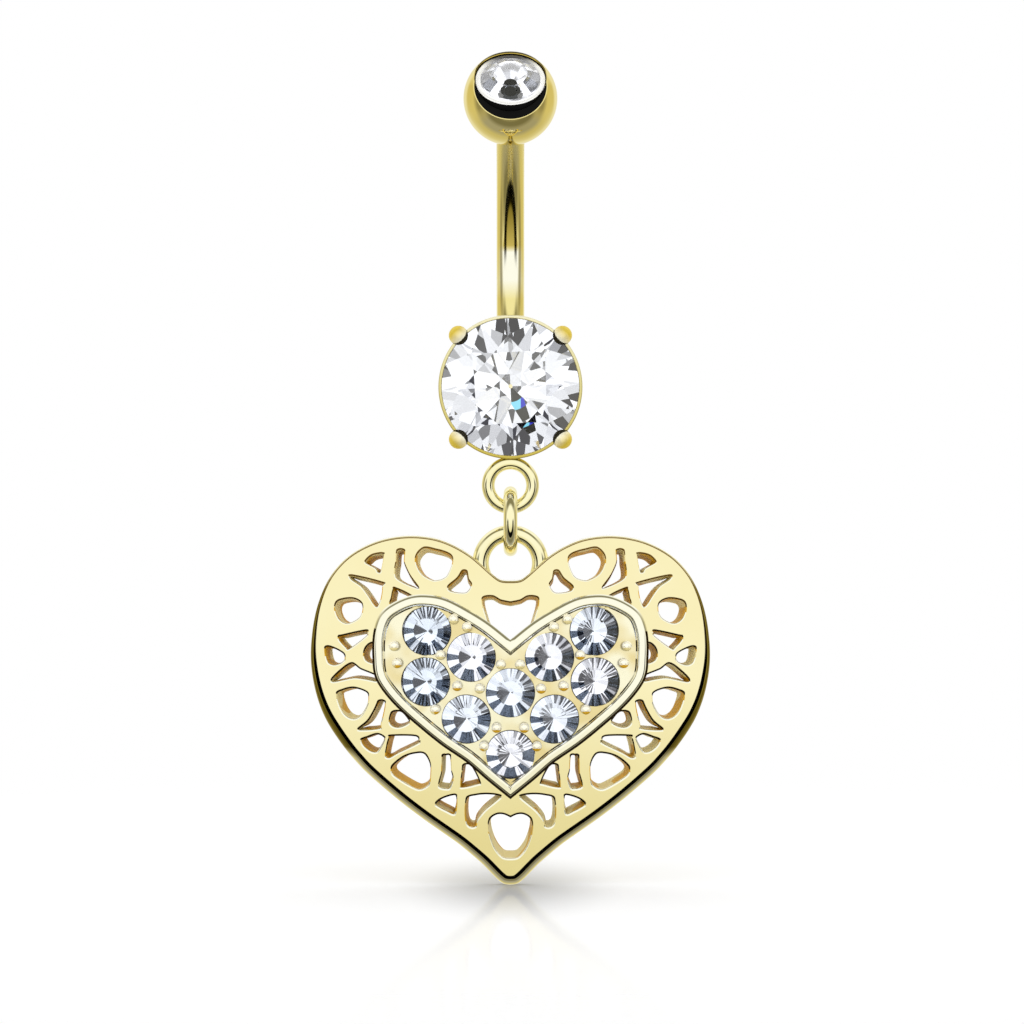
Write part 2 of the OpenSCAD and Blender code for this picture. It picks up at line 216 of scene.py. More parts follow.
bar_gold = bar_gold.surface(
    Base_Color=bar_gold.blend(painted_dark_streak, bar_gold.blend(painted_highlight, BAR_PLAIN, BAR_HIGHLIGHT), streak_shade),
    Metallic=1.0,
    Roughness=bar_gold.ranged(bar_up, *MATT_HEAD, 0.0, 0.16) + bar_gold.haze(0.1, 0.16),
)


def new_piece(name):
    """Names and returns the object that the last operator made."""
    piece = bpy.context.object
    piece.name = piece.data.name = name
    return piece


def alone(piece):
    """Selects one piece and nothing else."""
    bpy.ops.object.select_all(action="DESELECT")
    piece.select_set(True)
    bpy.context.view_layer.objects.active = piece


def edit(piece, *steps):
    """Runs edit-mode operators on everything in a piece."""
    alone(piece)
    bpy.ops.object.mode_set(mode="EDIT")
    bpy.ops.mesh.select_all(action="SELECT")
    for operator, settings in steps:
        operator(**settings)
    bpy.ops.object.mode_set(mode="OBJECT")


def modify(piece, kind, **settings):
    """Adds a modifier and applies it."""
    alone(piece)
    modifier = piece.modifiers.new(kind.lower(), kind)
    for key, value in settings.items():
        setattr(modifier, key, value)
    bpy.ops.object.modifier_apply(modifier=modifier.name)


def bevelled(piece, width, segments, angle=30):
    """Rounds the edges that turn by more than the angle."""
    modify(
        piece, "BEVEL",
        width=width, segments=segments, limit_method="ANGLE", angle_limit=math.radians(angle),
    )


def coat(piece, *finishes):
    """Adds finishes to a piece; its faces name them by their place in the row."""
    for finish in finishes:
        piece.data.materials.append(finish)


def settle(piece, body, finishes, node, place=Matrix(), sharp=32):
    """Puts a finished piece in its place in metres, with its finish, body and node."""
    alone(piece)
    piece.matrix_world = Matrix.Scale(MM, 4) @ place
    bpy.ops.object.transform_apply(location=True, rotation=True, scale=True)
    bpy.ops.object.shade_smooth_by_angle(angle=math.radians(sharp))
    if not piece.data.materials:
        coat(piece, *finishes)
    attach(piece, body)
    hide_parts(node)


def moved(x=0, y=0, z=0):
    return Matrix.Translation((x, y, z))


def turned_by(degrees, axis):
    return Matrix.Rotation(math.radians(degrees), 4, axis)


def lathe(name, section, steps=128):
    """Spins a half section of (radius, height) corners once round Z, and closes its poles."""
    mesh = bpy.data.meshes.new(name)
    mesh.from_pydata(
        [(r, 0, z) for r, z in section], [(k, k + 1) for k in range(len(section) - 1)], []
    )
    if section[0][0] > 0:
        mesh.edges.add(1)
        mesh.edges[-1].vertices = (len(section) - 1, 0)
    piece = bpy.data.objects.new(name, mesh)
    bpy.context.collection.objects.link(piece)
    edit(
        piece,
        (bpy.ops.mesh.spin, dict(steps=steps, angle=2 * math.pi, center=(0, 0, 0), axis=(0, 0, 1))),
        (bpy.ops.mesh.select_all, dict(action="SELECT")),
        (bpy.ops.mesh.remove_doubles, dict(threshold=0.0001)),
        (bpy.ops.mesh.normals_make_consistent, dict(inside=False)),
    )
    return piece


def swept(name, points, diameter, sides):
    """A round wire along a path of points, with closed ends."""
    bpy.ops.mesh.primitive_circle_add(vertices=sides, radius=diameter / 2, fill_type="NOTHING")
    wire = new_piece(name)
    path = [Vector(p) for p in points]
    ways = [
        (path[min(k + 1, len(path) - 1)] - path[max(k - 1, 0)]).normalized()
        for k in range(len(path))
    ]
    shape = bmesh.new()
    shape.from_mesh(wire.data)
    start = [v.co.copy() for v in sorted(shape.verts, key=lambda v: v.index)]
    shape.clear()
    turn = Vector((0, 0, 1)).rotation_difference(ways[0])
    rings = []
    for k, (spot, way) in enumerate(zip(path, ways)):
        if k:
            turn = ways[k - 1].rotation_difference(way) @ turn
        rings.append([shape.verts.new(spot + turn @ c) for c in start])
    for first, second in zip(rings, rings[1:]):
        for k in range(sides):
            shape.faces.new((first[k - 1], first[k], second[k], second[k - 1]))
    shape.faces.new(reversed(rings[0]))
    shape.faces.new(rings[-1])
    bmesh.ops.recalc_face_normals(shape, faces=shape.faces)
    shape.to_mesh(wire.data)
    shape.free()
    return wire


def bar_point(angle):
    return (0, -BAR_BEND_R * (1 - math.cos(angle)), BAR_BEND_R * math.sin(angle))


BAR_STEPS = 96
bar_angles = [
    -BAR_HALF_ANGLE - BAR_RUN_ON + (2 * BAR_HALF_ANGLE + BAR_RUN_ON) * k / BAR_STEPS
    for k in range(BAR_STEPS + 1)
]
bar = swept("curved_bar", [bar_point(a) for a in bar_angles], BAR_D, sides=64)
bevelled(bar, width=0.06, segments=3, angle=40)
settle(bar, "barbell", [bar_gold], "barbell")

at_bar_top = moved(0, END_Y, END_Z) @ turned_by(45, "X")
pin_section = [(0, -PIN_ROOT), (PIN_D / 2, -PIN_ROOT), (PIN_D / 2, PIN_L), (0, PIN_L)]
pin = lathe("ball_pin", pin_section, steps=48)
bevelled(pin, width=0.08, segments=3, angle=40)
settle(pin, "barbell", [deep_gold], "barbell", at_bar_top)

# Four-prong basket
# Cast and soldered gold-plated wire: a cup on the bar's end, a tie ring, a thin seat ring round
# the stone's edge, and four prongs whose bead tips are pushed over the stone.
STONE_D, SEAT_LIP, SEAT_DEPTH, FIT = 7.85, 0.14, 0.6, 0.05
PRONG_D, PRONG_BEAD_D, PRONG_OUT, TIE_D, CUP_T, STONE_DROP = 0.8, 1.1, 0.27, 0.55, 0.75, 1.13
CROWN, GIRDLE, PAVILION, CULET, TABLE = 0.155, 0.03, 0.43, 0.03, 0.56
STONE_Y = END_Y - PAVILION * STONE_D - CUP_T
STONE_Z = -END_Z - STONE_DROP
SEAT_R = STONE_D / 2 + FIT + SEAT_LIP
SEAT_LEDGE, SEAT_TOP, SEAT_BREAK, SEAT_STEP, SEAT_ROOM = 0.35, 0.1, 0.03, 0.12, 0.02
at_stone = moved(0, STONE_Y, STONE_Z) @ turned_by(90, "X")
CUP_BACK = -PAVILION * STONE_D - CUP_T
CUP_R = STONE_DROP + BAR_D / 2
CUP_WALL, CUP_HOLLOW_R, CUP_FLOOR = 0.45, 0.35, 0.7

seat = lathe(
    "basket_seat",
    [
        (STONE_D / 2 - SEAT_LEDGE, -SEAT_DEPTH),
        (SEAT_R, -SEAT_DEPTH),
        (SEAT_R, SEAT_TOP / 2),
        (SEAT_R - SEAT_BREAK, SEAT_TOP),
        (STONE_D / 2 + SEAT_ROOM, SEAT_TOP),
        (STONE_D / 2 + SEAT_ROOM, -SEAT_STEP),
    ],
    steps=160,
)
bevelled(seat, width=0.015, segments=2, angle=20)

# The ring's lip has painted shading: pale at its top and deep yellow at its foot
seat_gold = Finish("seat_gold")
seat_foot, seat_middle, seat_top = ((STONE_Z + up) * MM for up in (-SEAT_R, 0, SEAT_R))
seat_shade = seat_gold.blend(
    seat_gold.ranged(seat_gold.along("Z"), seat_foot, seat_middle, 0, 1),
    (0.62, 0.50, 0.11), (0.76, 0.68, 0.34),
)
seat_gold = seat_gold.surface(
    Base_Color=seat_gold.blend(
        seat_gold.ranged(seat_gold.along("Z"), seat_middle, seat_top, 0, 1),
        seat_shade, (0.95, 0.90, 0.70),
    ),
    Metallic=1.0,
    Roughness=seat_gold.haze(0.06, 0.16),
)
settle(seat, "barbell", [seat_gold], "barbell", at_stone)

cup = lathe(
    "basket_cup",
    [
        (0, CUP_BACK),
        (CUP_R - CUP_T / 3, CUP_BACK),
        (CUP_R, CUP_BACK + 2 * CUP_T),
        (CUP_R - CUP_WALL, CUP_BACK + 2 * CUP_T),
        (CUP_HOLLOW_R, CUP_BACK + CUP_FLOOR),
        (0, CUP_BACK + CUP_FLOOR),
    ],
    steps=96,
)
bevelled(cup, width=0.12, segments=4)
settle(cup, "barbell", [deep_gold], "barbell", at_stone)

prong_foot = Vector((CUP_R - PRONG_D / 2, 0, CUP_BACK + CUP_T))
prong_knee = Vector((STONE_D / 2 + PRONG_OUT, 0, -SEAT_DEPTH / 2))
prong_tip = Vector((prong_knee.x, 0, PRONG_BEAD_D / 2))
tie_middle = (prong_foot + prong_knee) / 2


def eased(points, passes=3):
    """Rounds a path's corners by cutting them again and again."""
    for _ in range(passes):
        cut = [points[0]]
        for a, b in zip(points, points[1:]):
            cut += [a.lerp(b, 0.25), a.lerp(b, 0.75)]
        points = cut + [points[-1]]
    return points


bpy.ops.mesh.primitive_torus_add(
    major_radius=tie_middle.x, minor_radius=TIE_D / 2, major_segments=128, minor_segments=32
)
tie = new_piece("basket_tie")
settle(tie, "barbell", [deep_gold], "barbell", at_stone @ moved(z=tie_middle.z))


def from_stone(finish):
    """The shaded point's way from the main stone's axis, seen from the front."""
    return finish.vector("MULTIPLY_ADD", finish.places(), (1, 0, 1), (0, 0, -STONE_Z * MM))


# The beads carry a painted highlight, paler near the stone's axis; in metres
HIGHLIGHT_REACH = (0.0039, 0.0045)
bead_gold = Finish("bead_gold")
outside_highlight = bead_gold.ranged(bead_gold.length(from_stone(bead_gold)), *HIGHLIGHT_REACH, 0, 1)
bead_gold = bead_gold.surface(
    Base_Color=bead_gold.blend(outside_highlight, (0.80, 0.77, 0.62), (0.60, 0.45, 0.05)),
    Metallic=0.35,
    Roughness=bead_gold.haze(0.3, 0.4, scale=1600, detail=3, most=0.7),
)
# Painted shadow, nearly black, for the beads' side against the stone
painted_crescent_shadow = Finish("painted_crescent_shadow")
painted_crescent_shadow = painted_crescent_shadow.surface(
    Base_Color=painted_crescent_shadow.blend(
        painted_crescent_shadow.noise(900, detail=3), (0.008, 0.007, 0.005), (0.03, 0.025, 0.012)
    ),
    Roughness=painted_crescent_shadow.haze(0.45, 0.6, scale=2500, detail=2, most=0.7),
    Specular_IOR_Level=0.1,
)

# Each bead has a painted black shadow on its side that faces inwards to the stone and a little back
SHADOW_LEAN, SHADOW_EDGE = math.radians(31), 0.06
SHADOW_WAY = Vector((-math.cos(SHADOW_LEAN), 0, -math.sin(SHADOW_LEAN)))
for k in range(4):
    prong = swept(f"prong_{k + 1}", eased([prong_foot, prong_knee, prong_tip]), PRONG_D, sides=40)
    bpy.ops.mesh.primitive_uv_sphere_add(
        segments=72, ring_count=48, radius=PRONG_BEAD_D / 2, location=prong_tip
    )
    bead = new_piece(f"prong_bead_{k + 1}")
    alone(bead)
    bpy.ops.object.transform_apply(location=True)
    coat(bead, bead_gold, painted_crescent_shadow)
    for face in bead.data.polygons:
        face.material_index = int((face.center - prong_tip).normalized().dot(SHADOW_WAY) > SHADOW_EDGE)
    quarter = at_stone @ turned_by(45 + 90 * k, "Z")
    settle(prong, "barbell", [deep_gold], "barbell", quarter)
    settle(bead, "barbell", [bead_gold], "barbell", quarter)

# Fixed eyelet
# A closed ring of the same wire, soldered under the seat ring; the jump ring hangs in it.
EYELET_D, EYELET_WIRE, SOLDER = 3.28, 0.74, 0.12
HANG_Y = STONE_Y + SEAT_DEPTH / 2
EYELET_Z = STONE_Z - SEAT_R - EYELET_D / 2 + SOLDER


def wire_ring(name, outer_d, wire_d):
    bpy.ops.mesh.primitive_torus_add(
        major_radius=(outer_d - wire_d) / 2,
        minor_radius=wire_d / 2,
        major_segments=144,
        minor_segments=48,
    )
    return new_piece(name)


facing = turned_by(90, "X")
settle(
    wire_ring("eyelet", EYELET_D, EYELET_WIRE),
    "barbell", [link_gold], "barbell", moved(0, HANG_Y, EYELET_Z) @ facing,
)

# Ball
# A hollow-bored 5.4 mm steel ball, gold plated. Its mouth, painted black inside as shade,
# leans further forward than the small crystal that stands in it.
BALL_D, FOOT_D, MOUTH_D, MOUTH_LEAN = 5.4, 1.9, 4.24, 20
COLLAR_D, COLLAR_W, COLLAR_L, COLLAR_UP, PIN_GAP = 4.02, 0.34, 1.1, 1.53, 0.04
BALL_UP = math.sqrt((BALL_D / 2) ** 2 - (FOOT_D / 2) ** 2) + FIT
MOUTH_UP = math.sqrt((BALL_D / 2) ** 2 - (MOUTH_D / 2) ** 2)
GEM_D = COLLAR_D - 2 * COLLAR_W
BORE_RIM_W, BORE_RIM_L, MOUTH_LIP, MOUTH_RISE, HAIR = 0.02, 0.17, 0.05, 0.005, 0.001
BORE_RIM_UP = math.sqrt((BALL_D / 2) ** 2 - (COLLAR_D / 2 + FIT) ** 2) - BORE_RIM_L
in_ball = at_bar_top @ moved(z=BALL_UP)
mouth_lean = turned_by(MOUTH_LEAN, "X")

# Painted shade: the mouth's floor, its bore and the collar's hidden wall are painted nearly black
painted_mouth_shade = Finish("painted_mouth_shade")
painted_mouth_shade = painted_mouth_shade.surface(
    Base_Color=painted_mouth_shade.blend(
        painted_mouth_shade.noise(700, detail=3), (0.0015, 0.0015, 0.0015), (0.006, 0.006, 0.006)
    ),
    Roughness=painted_mouth_shade.haze(0.35, 0.5, scale=1800, detail=3, most=0.7),
    Specular_IOR_Level=0.05,
)
# The mouth's floor stands a hair above the ball's cut edge
BALL_RINGS = 90
mouth_angle = math.asin(MOUTH_D / BALL_D)
mouth_floor = [(MOUTH_D / 2 - MOUTH_LIP, MOUTH_UP + MOUTH_RISE), (0, MOUTH_UP + MOUTH_RISE)]
ball_section = [(0, -BALL_D / 2)] + [
    (BALL_D / 2 * math.sin(a), -BALL_D / 2 * math.cos(a))
    for a in [(math.pi - mouth_angle) * k / BALL_RINGS for k in range(1, BALL_RINGS + 1)]
] + mouth_floor
ball = lathe("ball_shell", ball_section, steps=144)
coat(ball, deep_gold, painted_mouth_shade)
for face in ball.data.polygons:
    off_axis = face.center.xy.length
    face.material_index = int(face.center.z > MOUTH_UP - HAIR and off_axis < MOUTH_D / 2 - MOUTH_LIP)
alone(ball)
ball.matrix_world = mouth_lean
bpy.ops.object.transform_apply(location=True, rotation=True)


def bored(piece, radius, low, high, lining):
    """Bores a hole along Z, lined with a finish."""
    bpy.ops.mesh.primitive_cylinder_add(
        vertices=96, radius=radius, depth=high - low, location=(0, 0, (low + high) / 2)
    )
    cutter = bpy.context.object
    coat(cutter, lining)
    modify(
        piece, "BOOLEAN",
        object=cutter, operation="DIFFERENCE", solver="EXACT", material_mode="TRANSFER",
    )
    bpy.data.objects.remove(cutter)


bored(ball, COLLAR_D / 2 + FIT, COLLAR_UP - COLLAR_L - FIT, BALL_D, painted_mouth_shade)
bored(ball, COLLAR_D / 2 + FIT + BORE_RIM_W, BORE_RIM_UP, BALL_D, deep_gold)
bored(ball, PIN_D / 2 + PIN_GAP, -BALL_D, PIN_L - BALL_UP + 2 * FIT, deep_gold)
ball_foot = dict(plane_co=(0, 0, FIT - BALL_UP), plane_no=(0, 0, 1), clear_inner=True)
edit(ball, (bpy.ops.mesh.bisect, ball_foot))
bpy.ops.object.mode_set(mode="EDIT")
bpy.ops.mesh.select_all(action="DESELECT")
bpy.ops.mesh.select_non_manifold()
bpy.ops.mesh.bridge_edge_loops()
bpy.ops.mesh.select_all(action="SELECT")
bpy.ops.mesh.normals_make_consistent(inside=False)
bpy.ops.object.mode_set(mode="OBJECT")
settle(ball, "ball", [deep_gold], "top_ball", in_ball)

# Collar of the small crystal
# A white polished metal collar, pressed into the ball's mouth, that holds the crystal's edge.
COLLAR_LEDGE, LEDGE_TOP, LEDGE_FOOT, GEM_ROOM, BURIED, HIDDEN_RIM = 0.3, 0.1, 0.4, 0.02, 0.08, 0.02

# It has painted shade at its top, from the first of these heights to the second, in metres
COLLAR_SHADE = (0.0104, 0.0109)
white_metal = Finish("white_metal")
in_shade = white_metal.ranged(white_metal.along("Z"), *COLLAR_SHADE, 0, 1)
white_metal = white_metal.surface(
    Base_Color=white_metal.blend(in_shade, (0.95, 0.95, 0.96), (0.09, 0.09, 0.10)),
    Metallic=0.5,
    Roughness=white_metal.haze(0.06, 0.16, scale=1700),
)
collar = lathe(
    "gem_collar_ring",
    [
        (GEM_D / 2 - COLLAR_LEDGE, -COLLAR_L),
        (COLLAR_D / 2, -COLLAR_L),
        (COLLAR_D / 2, 0),
        (GEM_D / 2 + GEM_ROOM, 0),
        (GEM_D / 2 + GEM_ROOM, -LEDGE_TOP),
        (GEM_D / 2 - COLLAR_LEDGE, -LEDGE_FOOT),
    ],
)
bevelled(collar, width=0.07, segments=4)
# Its outer wall below the top is painted black as shade
coat(collar, white_metal, painted_mouth_shade)
for face in collar.data.polygons:
    outside = face.center.xy.length > COLLAR_D / 2 - HIDDEN_RIM
    face.material_index = int(outside and face.center.z < -BURIED)
settle(collar, "ball", [white_metal], "gem_collar", in_ball @ moved(z=COLLAR_UP))

# Cut stones
# The main stone is a round brilliant of clear cubic zirconia: a table, 8 stars, 8 kites and 16
# upper halves, 16 lower halves and 8 mains below. The others are foiled glass with one row of
# facets above the girdle and one below. Each cut is made from a rough, one facet at a time.
ZIRCONIA_IOR, GLASS_IOR = 2.12, 1.56
# The colour of painted shade on a facet
FACET_DARK = (0.012, 0.018, 0.03)


def clear_stone(name, tint, ior):
    """Clear crystal with a breath of colour that drifts through it. A facet with painted shade is
    darker to light that goes in, not to light that comes out."""
    finish = Finish(name)
    body = finish.blend(finish.noise(300), (1, 1, 1), tint)
    shade = finish.node("ShaderNodeAttribute", {"attribute_name": "shade"}, out="Fac")
    shade = shade * (1 - finish.node("ShaderNodeNewGeometry", out="Backfacing"))
    return finish.surface(
        Base_Color=finish.blend(shade, body, FACET_DARK),
        Roughness=0.0,
        IOR=ior,
        Transmission_Weight=1.0,
    )


clear_crystal = clear_stone("clear_crystal", (0.975, 0.98, 1.0), ZIRCONIA_IOR)
lead_glass = clear_stone("lead_glass", (0.98, 0.98, 1.0), GLASS_IOR)
cool_glass = clear_stone("cool_glass", (0.80, 0.91, 1.0), GLASS_IOR)

# One facet below the main stone's table has a painted flash: it glows blue and cyan, between
# painted black. These are distances from the stone's axis, in metres.
FLASH_IN, FLASH_OUT, FLASH_END, FLASH_SPLIT, FLASH_SOFT = 0.00088, 0.00136, 0.0021, 0.00058, 0.00002
FLASH_CYAN, FLASH_BLUE = (0.25, 0.78, 1.0), (0.0, 0.01, 0.6)
flash_facet = Finish("flash_facet")
from_axis = from_stone(flash_facet)
axis_gap, sideways = flash_facet.length(from_axis), flash_facet.along("X", from_axis)
flashing = flash_facet.ranged(axis_gap, FLASH_IN, FLASH_IN + FLASH_SOFT, 0, 1)
flashing = flashing * flash_facet.ranged(axis_gap, FLASH_OUT, FLASH_OUT + FLASH_SOFT, 1, 0)
past_split = flash_facet.ranged(sideways, FLASH_SPLIT, FLASH_SPLIT + FLASH_SOFT, 0, 1)
flash_colours = flash_facet.blend(past_split, FLASH_CYAN, FLASH_BLUE)
flash_black = flash_facet.blend(flash_facet.noise(900), (0.003, 0.003, 0.004), (0.02, 0.02, 0.03))
flash_dark = flash_facet.node(
    "ShaderNodeBsdfPrincipled", {},
    {
        "Base Color": flash_black,
        "Roughness": 0.3,
        "Specular IOR Level": 0.1,
        "Emission Color": flash_facet.blend(flashing, (0, 0, 0), flash_colours),
        "Emission Strength": 1.0,
    },
)
flash_clear = flash_facet.node(
    "ShaderNodeBsdfPrincipled", {},
    {"Base Color": (1, 1, 1), "Roughness": 0.0, "IOR": ZIRCONIA_IOR, "Transmission Weight": 1.0},
)
# It shows straight through the table only, not in the other facets' reflections
ONE_STEP_IN = 1.5
straight = flash_facet.node("ShaderNodeLightPath", out="Ray Depth").math("LESS_THAN", ONE_STEP_IN)
shown = straight * flash_facet.ranged(axis_gap, FLASH_END, FLASH_END + FLASH_SOFT, 1, 0)
flash_facet.node(
    "ShaderNodeOutputMaterial", {},
    {"Surface": flash_facet.node("ShaderNodeMixShader", {}, {0: shown, 1: flash_clear, 2: flash_dark})},
)
flash_facet = flash_facet.data


def silver_foil(name, smooth, dull, glow):
    """The foil behind a stone; a glow stands for the light that it gathers from all round."""
    finish = Finish(name)
    return finish.surface(
        Base_Color=finish.blend(finish.noise(800), (0.90, 0.90, 0.92), (1.0, 1.0, 1.0)),
        Metallic=1.0,
        Roughness=finish.haze(smooth, dull, detail=2, most=0.7),
        Emission_Color=(1.0, 1.0, 1.0),
        Emission_Strength=glow,
    )


foil = silver_foil("foil", 0.02, 0.06, glow=0.0)
soft_foil = silver_foil("soft_foil", 0.1, 0.15, glow=0.17)
STAR_REACH, LOWER_REACH = 0.379, 0.13
EIGHTH = math.pi / 4


def around(radius, turn, height):
    return Vector((radius * math.cos(turn), radius * math.sin(turn), height))


def brilliant_facets():
    """Three meet points of each facet of a stone of diameter 1, for 8 turns of the wheel."""
    edge = GIRDLE / 2
    main_slope = (CROWN - edge) / (0.5 - TABLE / 2)
    star_height = edge + (0.5 - STAR_REACH * math.cos(EIGHTH / 2)) * main_slope
    low_slope = (PAVILION - edge) / (0.5 - CULET / 2)
    low_height = -PAVILION + (LOWER_REACH * math.cos(EIGHTH / 2) - CULET / 2) * low_slope
    for k in range(8):
        a = (k + 0.5) * EIGHTH
        tangent = around(1, a + math.pi / 2, 0)
        yield around(0.5, a, edge), around(0.5, a, edge) + tangent, around(TABLE / 2, a, CROWN)
        yield (
            around(TABLE / 2, a, CROWN),
            around(TABLE / 2, a + EIGHTH, CROWN),
            around(STAR_REACH, a + EIGHTH / 2, star_height),
        )
        yield around(0.5, a, -edge), around(0.5, a, -edge) + tangent, around(CULET / 2, a, -PAVILION)
        for side in (-1, 1):
            mid = a + side * EIGHTH / 2
            yield around(0.5, a, edge), around(0.5, mid, edge), around(STAR_REACH, mid, star_height)
            yield around(0.5, a, -edge), around(0.5, mid, -edge), around(LOWER_REACH, mid, low_height)


def fan_facets(sides, table):
    """The simpler cut of the foiled stones: one row of facets above the girdle, one below."""
    edge, step = GIRDLE / 2, 2 * math.pi / sides
    for k in range(sides):
        upper, lower = around(0.5, k * step, edge), around(0.5, (k + 0.5) * step, -edge)
        yield upper, upper + around(1, k * step + math.pi / 2, 0), around(table / 2, k * step, CROWN)
        yield (
            lower,
            lower + around(1, (k + 0.5) * step + math.pi / 2, 0),
            around(CULET / 2, (k + 0.5) * step, -PAVILION),
        )


def cut_stone(name, facets):
    """Cuts a stone of diameter 1; every facet is a plane, and what lies outside it goes."""
    bpy.ops.mesh.primitive_cylinder_add(
        vertices=96, radius=0.5, depth=PAVILION + CROWN, location=(0, 0, (CROWN - PAVILION) / 2)
    )
    stone = new_piece(name)
    alone(stone)
    bpy.ops.object.transform_apply(location=True)
    for first, second, third in facets:
        outward = (second - first).cross(third - first).normalized()
        if outward.dot(first) < 0:
            outward = -outward
        cut = dict(plane_co=first, plane_no=outward, use_fill=True, clear_outer=True)
        edit(stone, (bpy.ops.mesh.bisect, cut))
    edit(
        stone,
        (bpy.ops.mesh.remove_doubles, dict(threshold=0.0005)),
        (bpy.ops.mesh.normals_make_consistent, dict(inside=False)),
    )
    return stone


GEM_SIDES, GEM_TABLE, SMALL_SIDES, SMALL_TABLE = 12, 0.58, 20, 0.5
brilliant = cut_stone("brilliant_cut", brilliant_facets())
gem_cut = cut_stone("gem_cut", fan_facets(GEM_SIDES, GEM_TABLE))
small_cut = cut_stone("small_cut", fan_facets(SMALL_SIDES, SMALL_TABLE))

# The upward share of a facet's normal that parts crown, girdle and pavilion, and the table's
LEANING, LEVEL = 0.05, 0.99


def stone_copy(cut, name, diameter, lights=None, turn=0, backing=foil, glass=lead_glass):
    """A stone of that cut. With lights, it is foiled below, and each crown facet gets painted
    shade, as its own share of the light, anticlockwise from the right."""
    stone = cut.copy()
    stone.data = cut.data.copy()
    stone.name = stone.data.name = name
    bpy.context.collection.objects.link(stone)
    if lights:
        shade = stone.data.attributes.new("shade", "FLOAT", "FACE")
        for face, dark in zip(stone.data.polygons, shade.data):
            turns = math.atan2(face.normal.y, face.normal.x) / (2 * math.pi)
            on_crown = LEANING < face.normal.z < LEVEL
            light = lights[round(turns * len(lights)) % len(lights)] if on_crown else 1
            dark.value = 1 - light**2
            face.material_index = int(face.normal.z < -LEANING)
        coat(stone, glass, backing)
    stone.data.transform(Matrix.Scale(diameter, 4) @ turned_by(turn, "Z"))
    return stone


MAIN_TURN, FLASH_BEARING = 3, -67.5
main_stone = stone_copy(brilliant, "main_stone_brilliant", STONE_D, turn=MAIN_TURN)
coat(main_stone, clear_crystal, flash_facet)
for face in main_stone.data.polygons:
    bearing = math.degrees(math.atan2(face.normal.y, face.normal.x)) - MAIN_TURN
    face.material_index = int(face.normal.z < -LEANING and abs(bearing - FLASH_BEARING) < 1)
settle(main_stone, "barbell", [clear_crystal], "main_stone", at_stone, sharp=1)

# Painted shade on the top gem's crown facets, darkest at the bottom
GEM_LIGHTS = (0.6, 1, 0.9, 1, 0.95, 0.8, 0.7, 0.3, 1, 0.15, 1, 0.3)
settle(
    stone_copy(gem_cut, "top_gem_brilliant", GEM_D, GEM_LIGHTS, backing=soft_foil),
    "ball", [clear_crystal], "top_gem", in_ball @ moved(z=COLLAR_UP), sharp=1,
)

# Jump ring
# A plain wire ring, closed through the eyelet and the heart's bail.
JUMP_D, JUMP_WIRE, LINK_GAP = 4.02, 0.8, 0.05
EYELET_FOOT_Z = EYELET_Z - (EYELET_D - EYELET_WIRE) / 2
JUMP_Z = EYELET_FOOT_Z + EYELET_WIRE / 2 + LINK_GAP - (JUMP_D / 2 - JUMP_WIRE)
settle(
    wire_ring("jump_ring_wire", JUMP_D, JUMP_WIRE),
    "jump_ring", [link_gold], "jump_ring", moved(0, HANG_Y, JUMP_Z) @ turned_by(90, "Y"),
)

# Heart plate
# A cast plate, pressed to a gentle dome and pierced with 44 gaps, with a rounded outer edge
# that is widest below. Its plating is paler than the bar's.
HEART_W, HEART_H, PLATE_T, DOME_R, BAIL_INSET = 22.833, 20.03, 1.4, 45, 1.53
BAIL_D, BAIL_WIRE, BAIL_COVER = 4.35, 0.95, 0.35
JUMP_FOOT_Z = JUMP_Z - (JUMP_D - JUMP_WIRE) / 2
BAIL_Z = JUMP_FOOT_Z + JUMP_WIRE / 2 + LINK_GAP - (BAIL_D / 2 - BAIL_WIRE)
HEART_MID_Z = BAIL_Z + BAIL_INSET - HEART_H / 2
BAIL_SAG = DOME_R - math.sqrt(DOME_R**2 - (HEART_H / 2 - BAIL_INSET - BAIL_WIRE) ** 2)
FACE_Y = HANG_Y - BAIL_WIRE / 2 - BAIL_COVER - BAIL_SAG
in_heart = moved(0, FACE_Y + DOME_R, HEART_MID_Z) @ turned_by(90, "X")
pale_gold = polished_gold(
    "pale_gold", (0.97, 0.895, 0.61), (0.955, 0.865, 0.56), cloudiness=260, wear=0.04
)

# Inside the gaps the casting is left unpolished; its khaki with brown patches is also painted shade
cast_gold_shaded = Finish("cast_gold_shaded")
patches = cast_gold_shaded.ranged(cast_gold_shaded.noise(520, detail=1), 0.49, 0.51, 0, 1)
cast_gold_shaded = cast_gold_shaded.surface(
    Base_Color=cast_gold_shaded.blend(patches, (0.62, 0.53, 0.25), (0.52, 0.29, 0.016)),
    Metallic=0.0,
    Roughness=cast_gold_shaded.haze(0.35, 0.5, scale=2600, most=0.7),
    Specular_IOR_Level=0.05,
)

# The outer edge has a painted dark reflection at the heart's two sides, and a painted dark line runs
# along it, black below and brown above. Each pair holds the two heights, in metres, between which a
# change comes in.
SIDES_FOOT, SIDES_HEAD, LINE_HEAD = (-0.0291, -0.0285), (-0.0195, -0.0183), (-0.0215, -0.0185)
edge_gold = Finish("edge_gold")
edge_up = edge_gold.along("Z")
sides = edge_gold.ranged(edge_up, *SIDES_FOOT, 0, 1) * edge_gold.ranged(edge_up, *SIDES_HEAD, 1, 0)
edge_gold = edge_gold.surface(
    Base_Color=edge_gold.blend(sides, (0.95, 0.87, 0.58), (0.27, 0.21, 0.04)),
    Metallic=1.0,
    Roughness=edge_gold.haze(0.06, 0.16),
)
painted_dark_line = Finish("painted_dark_line")
line_shade = painted_dark_line.blend(painted_dark_line.noise(900, detail=3), (0.02, 0.01, 0.004), (0.05, 0.03, 0.01))
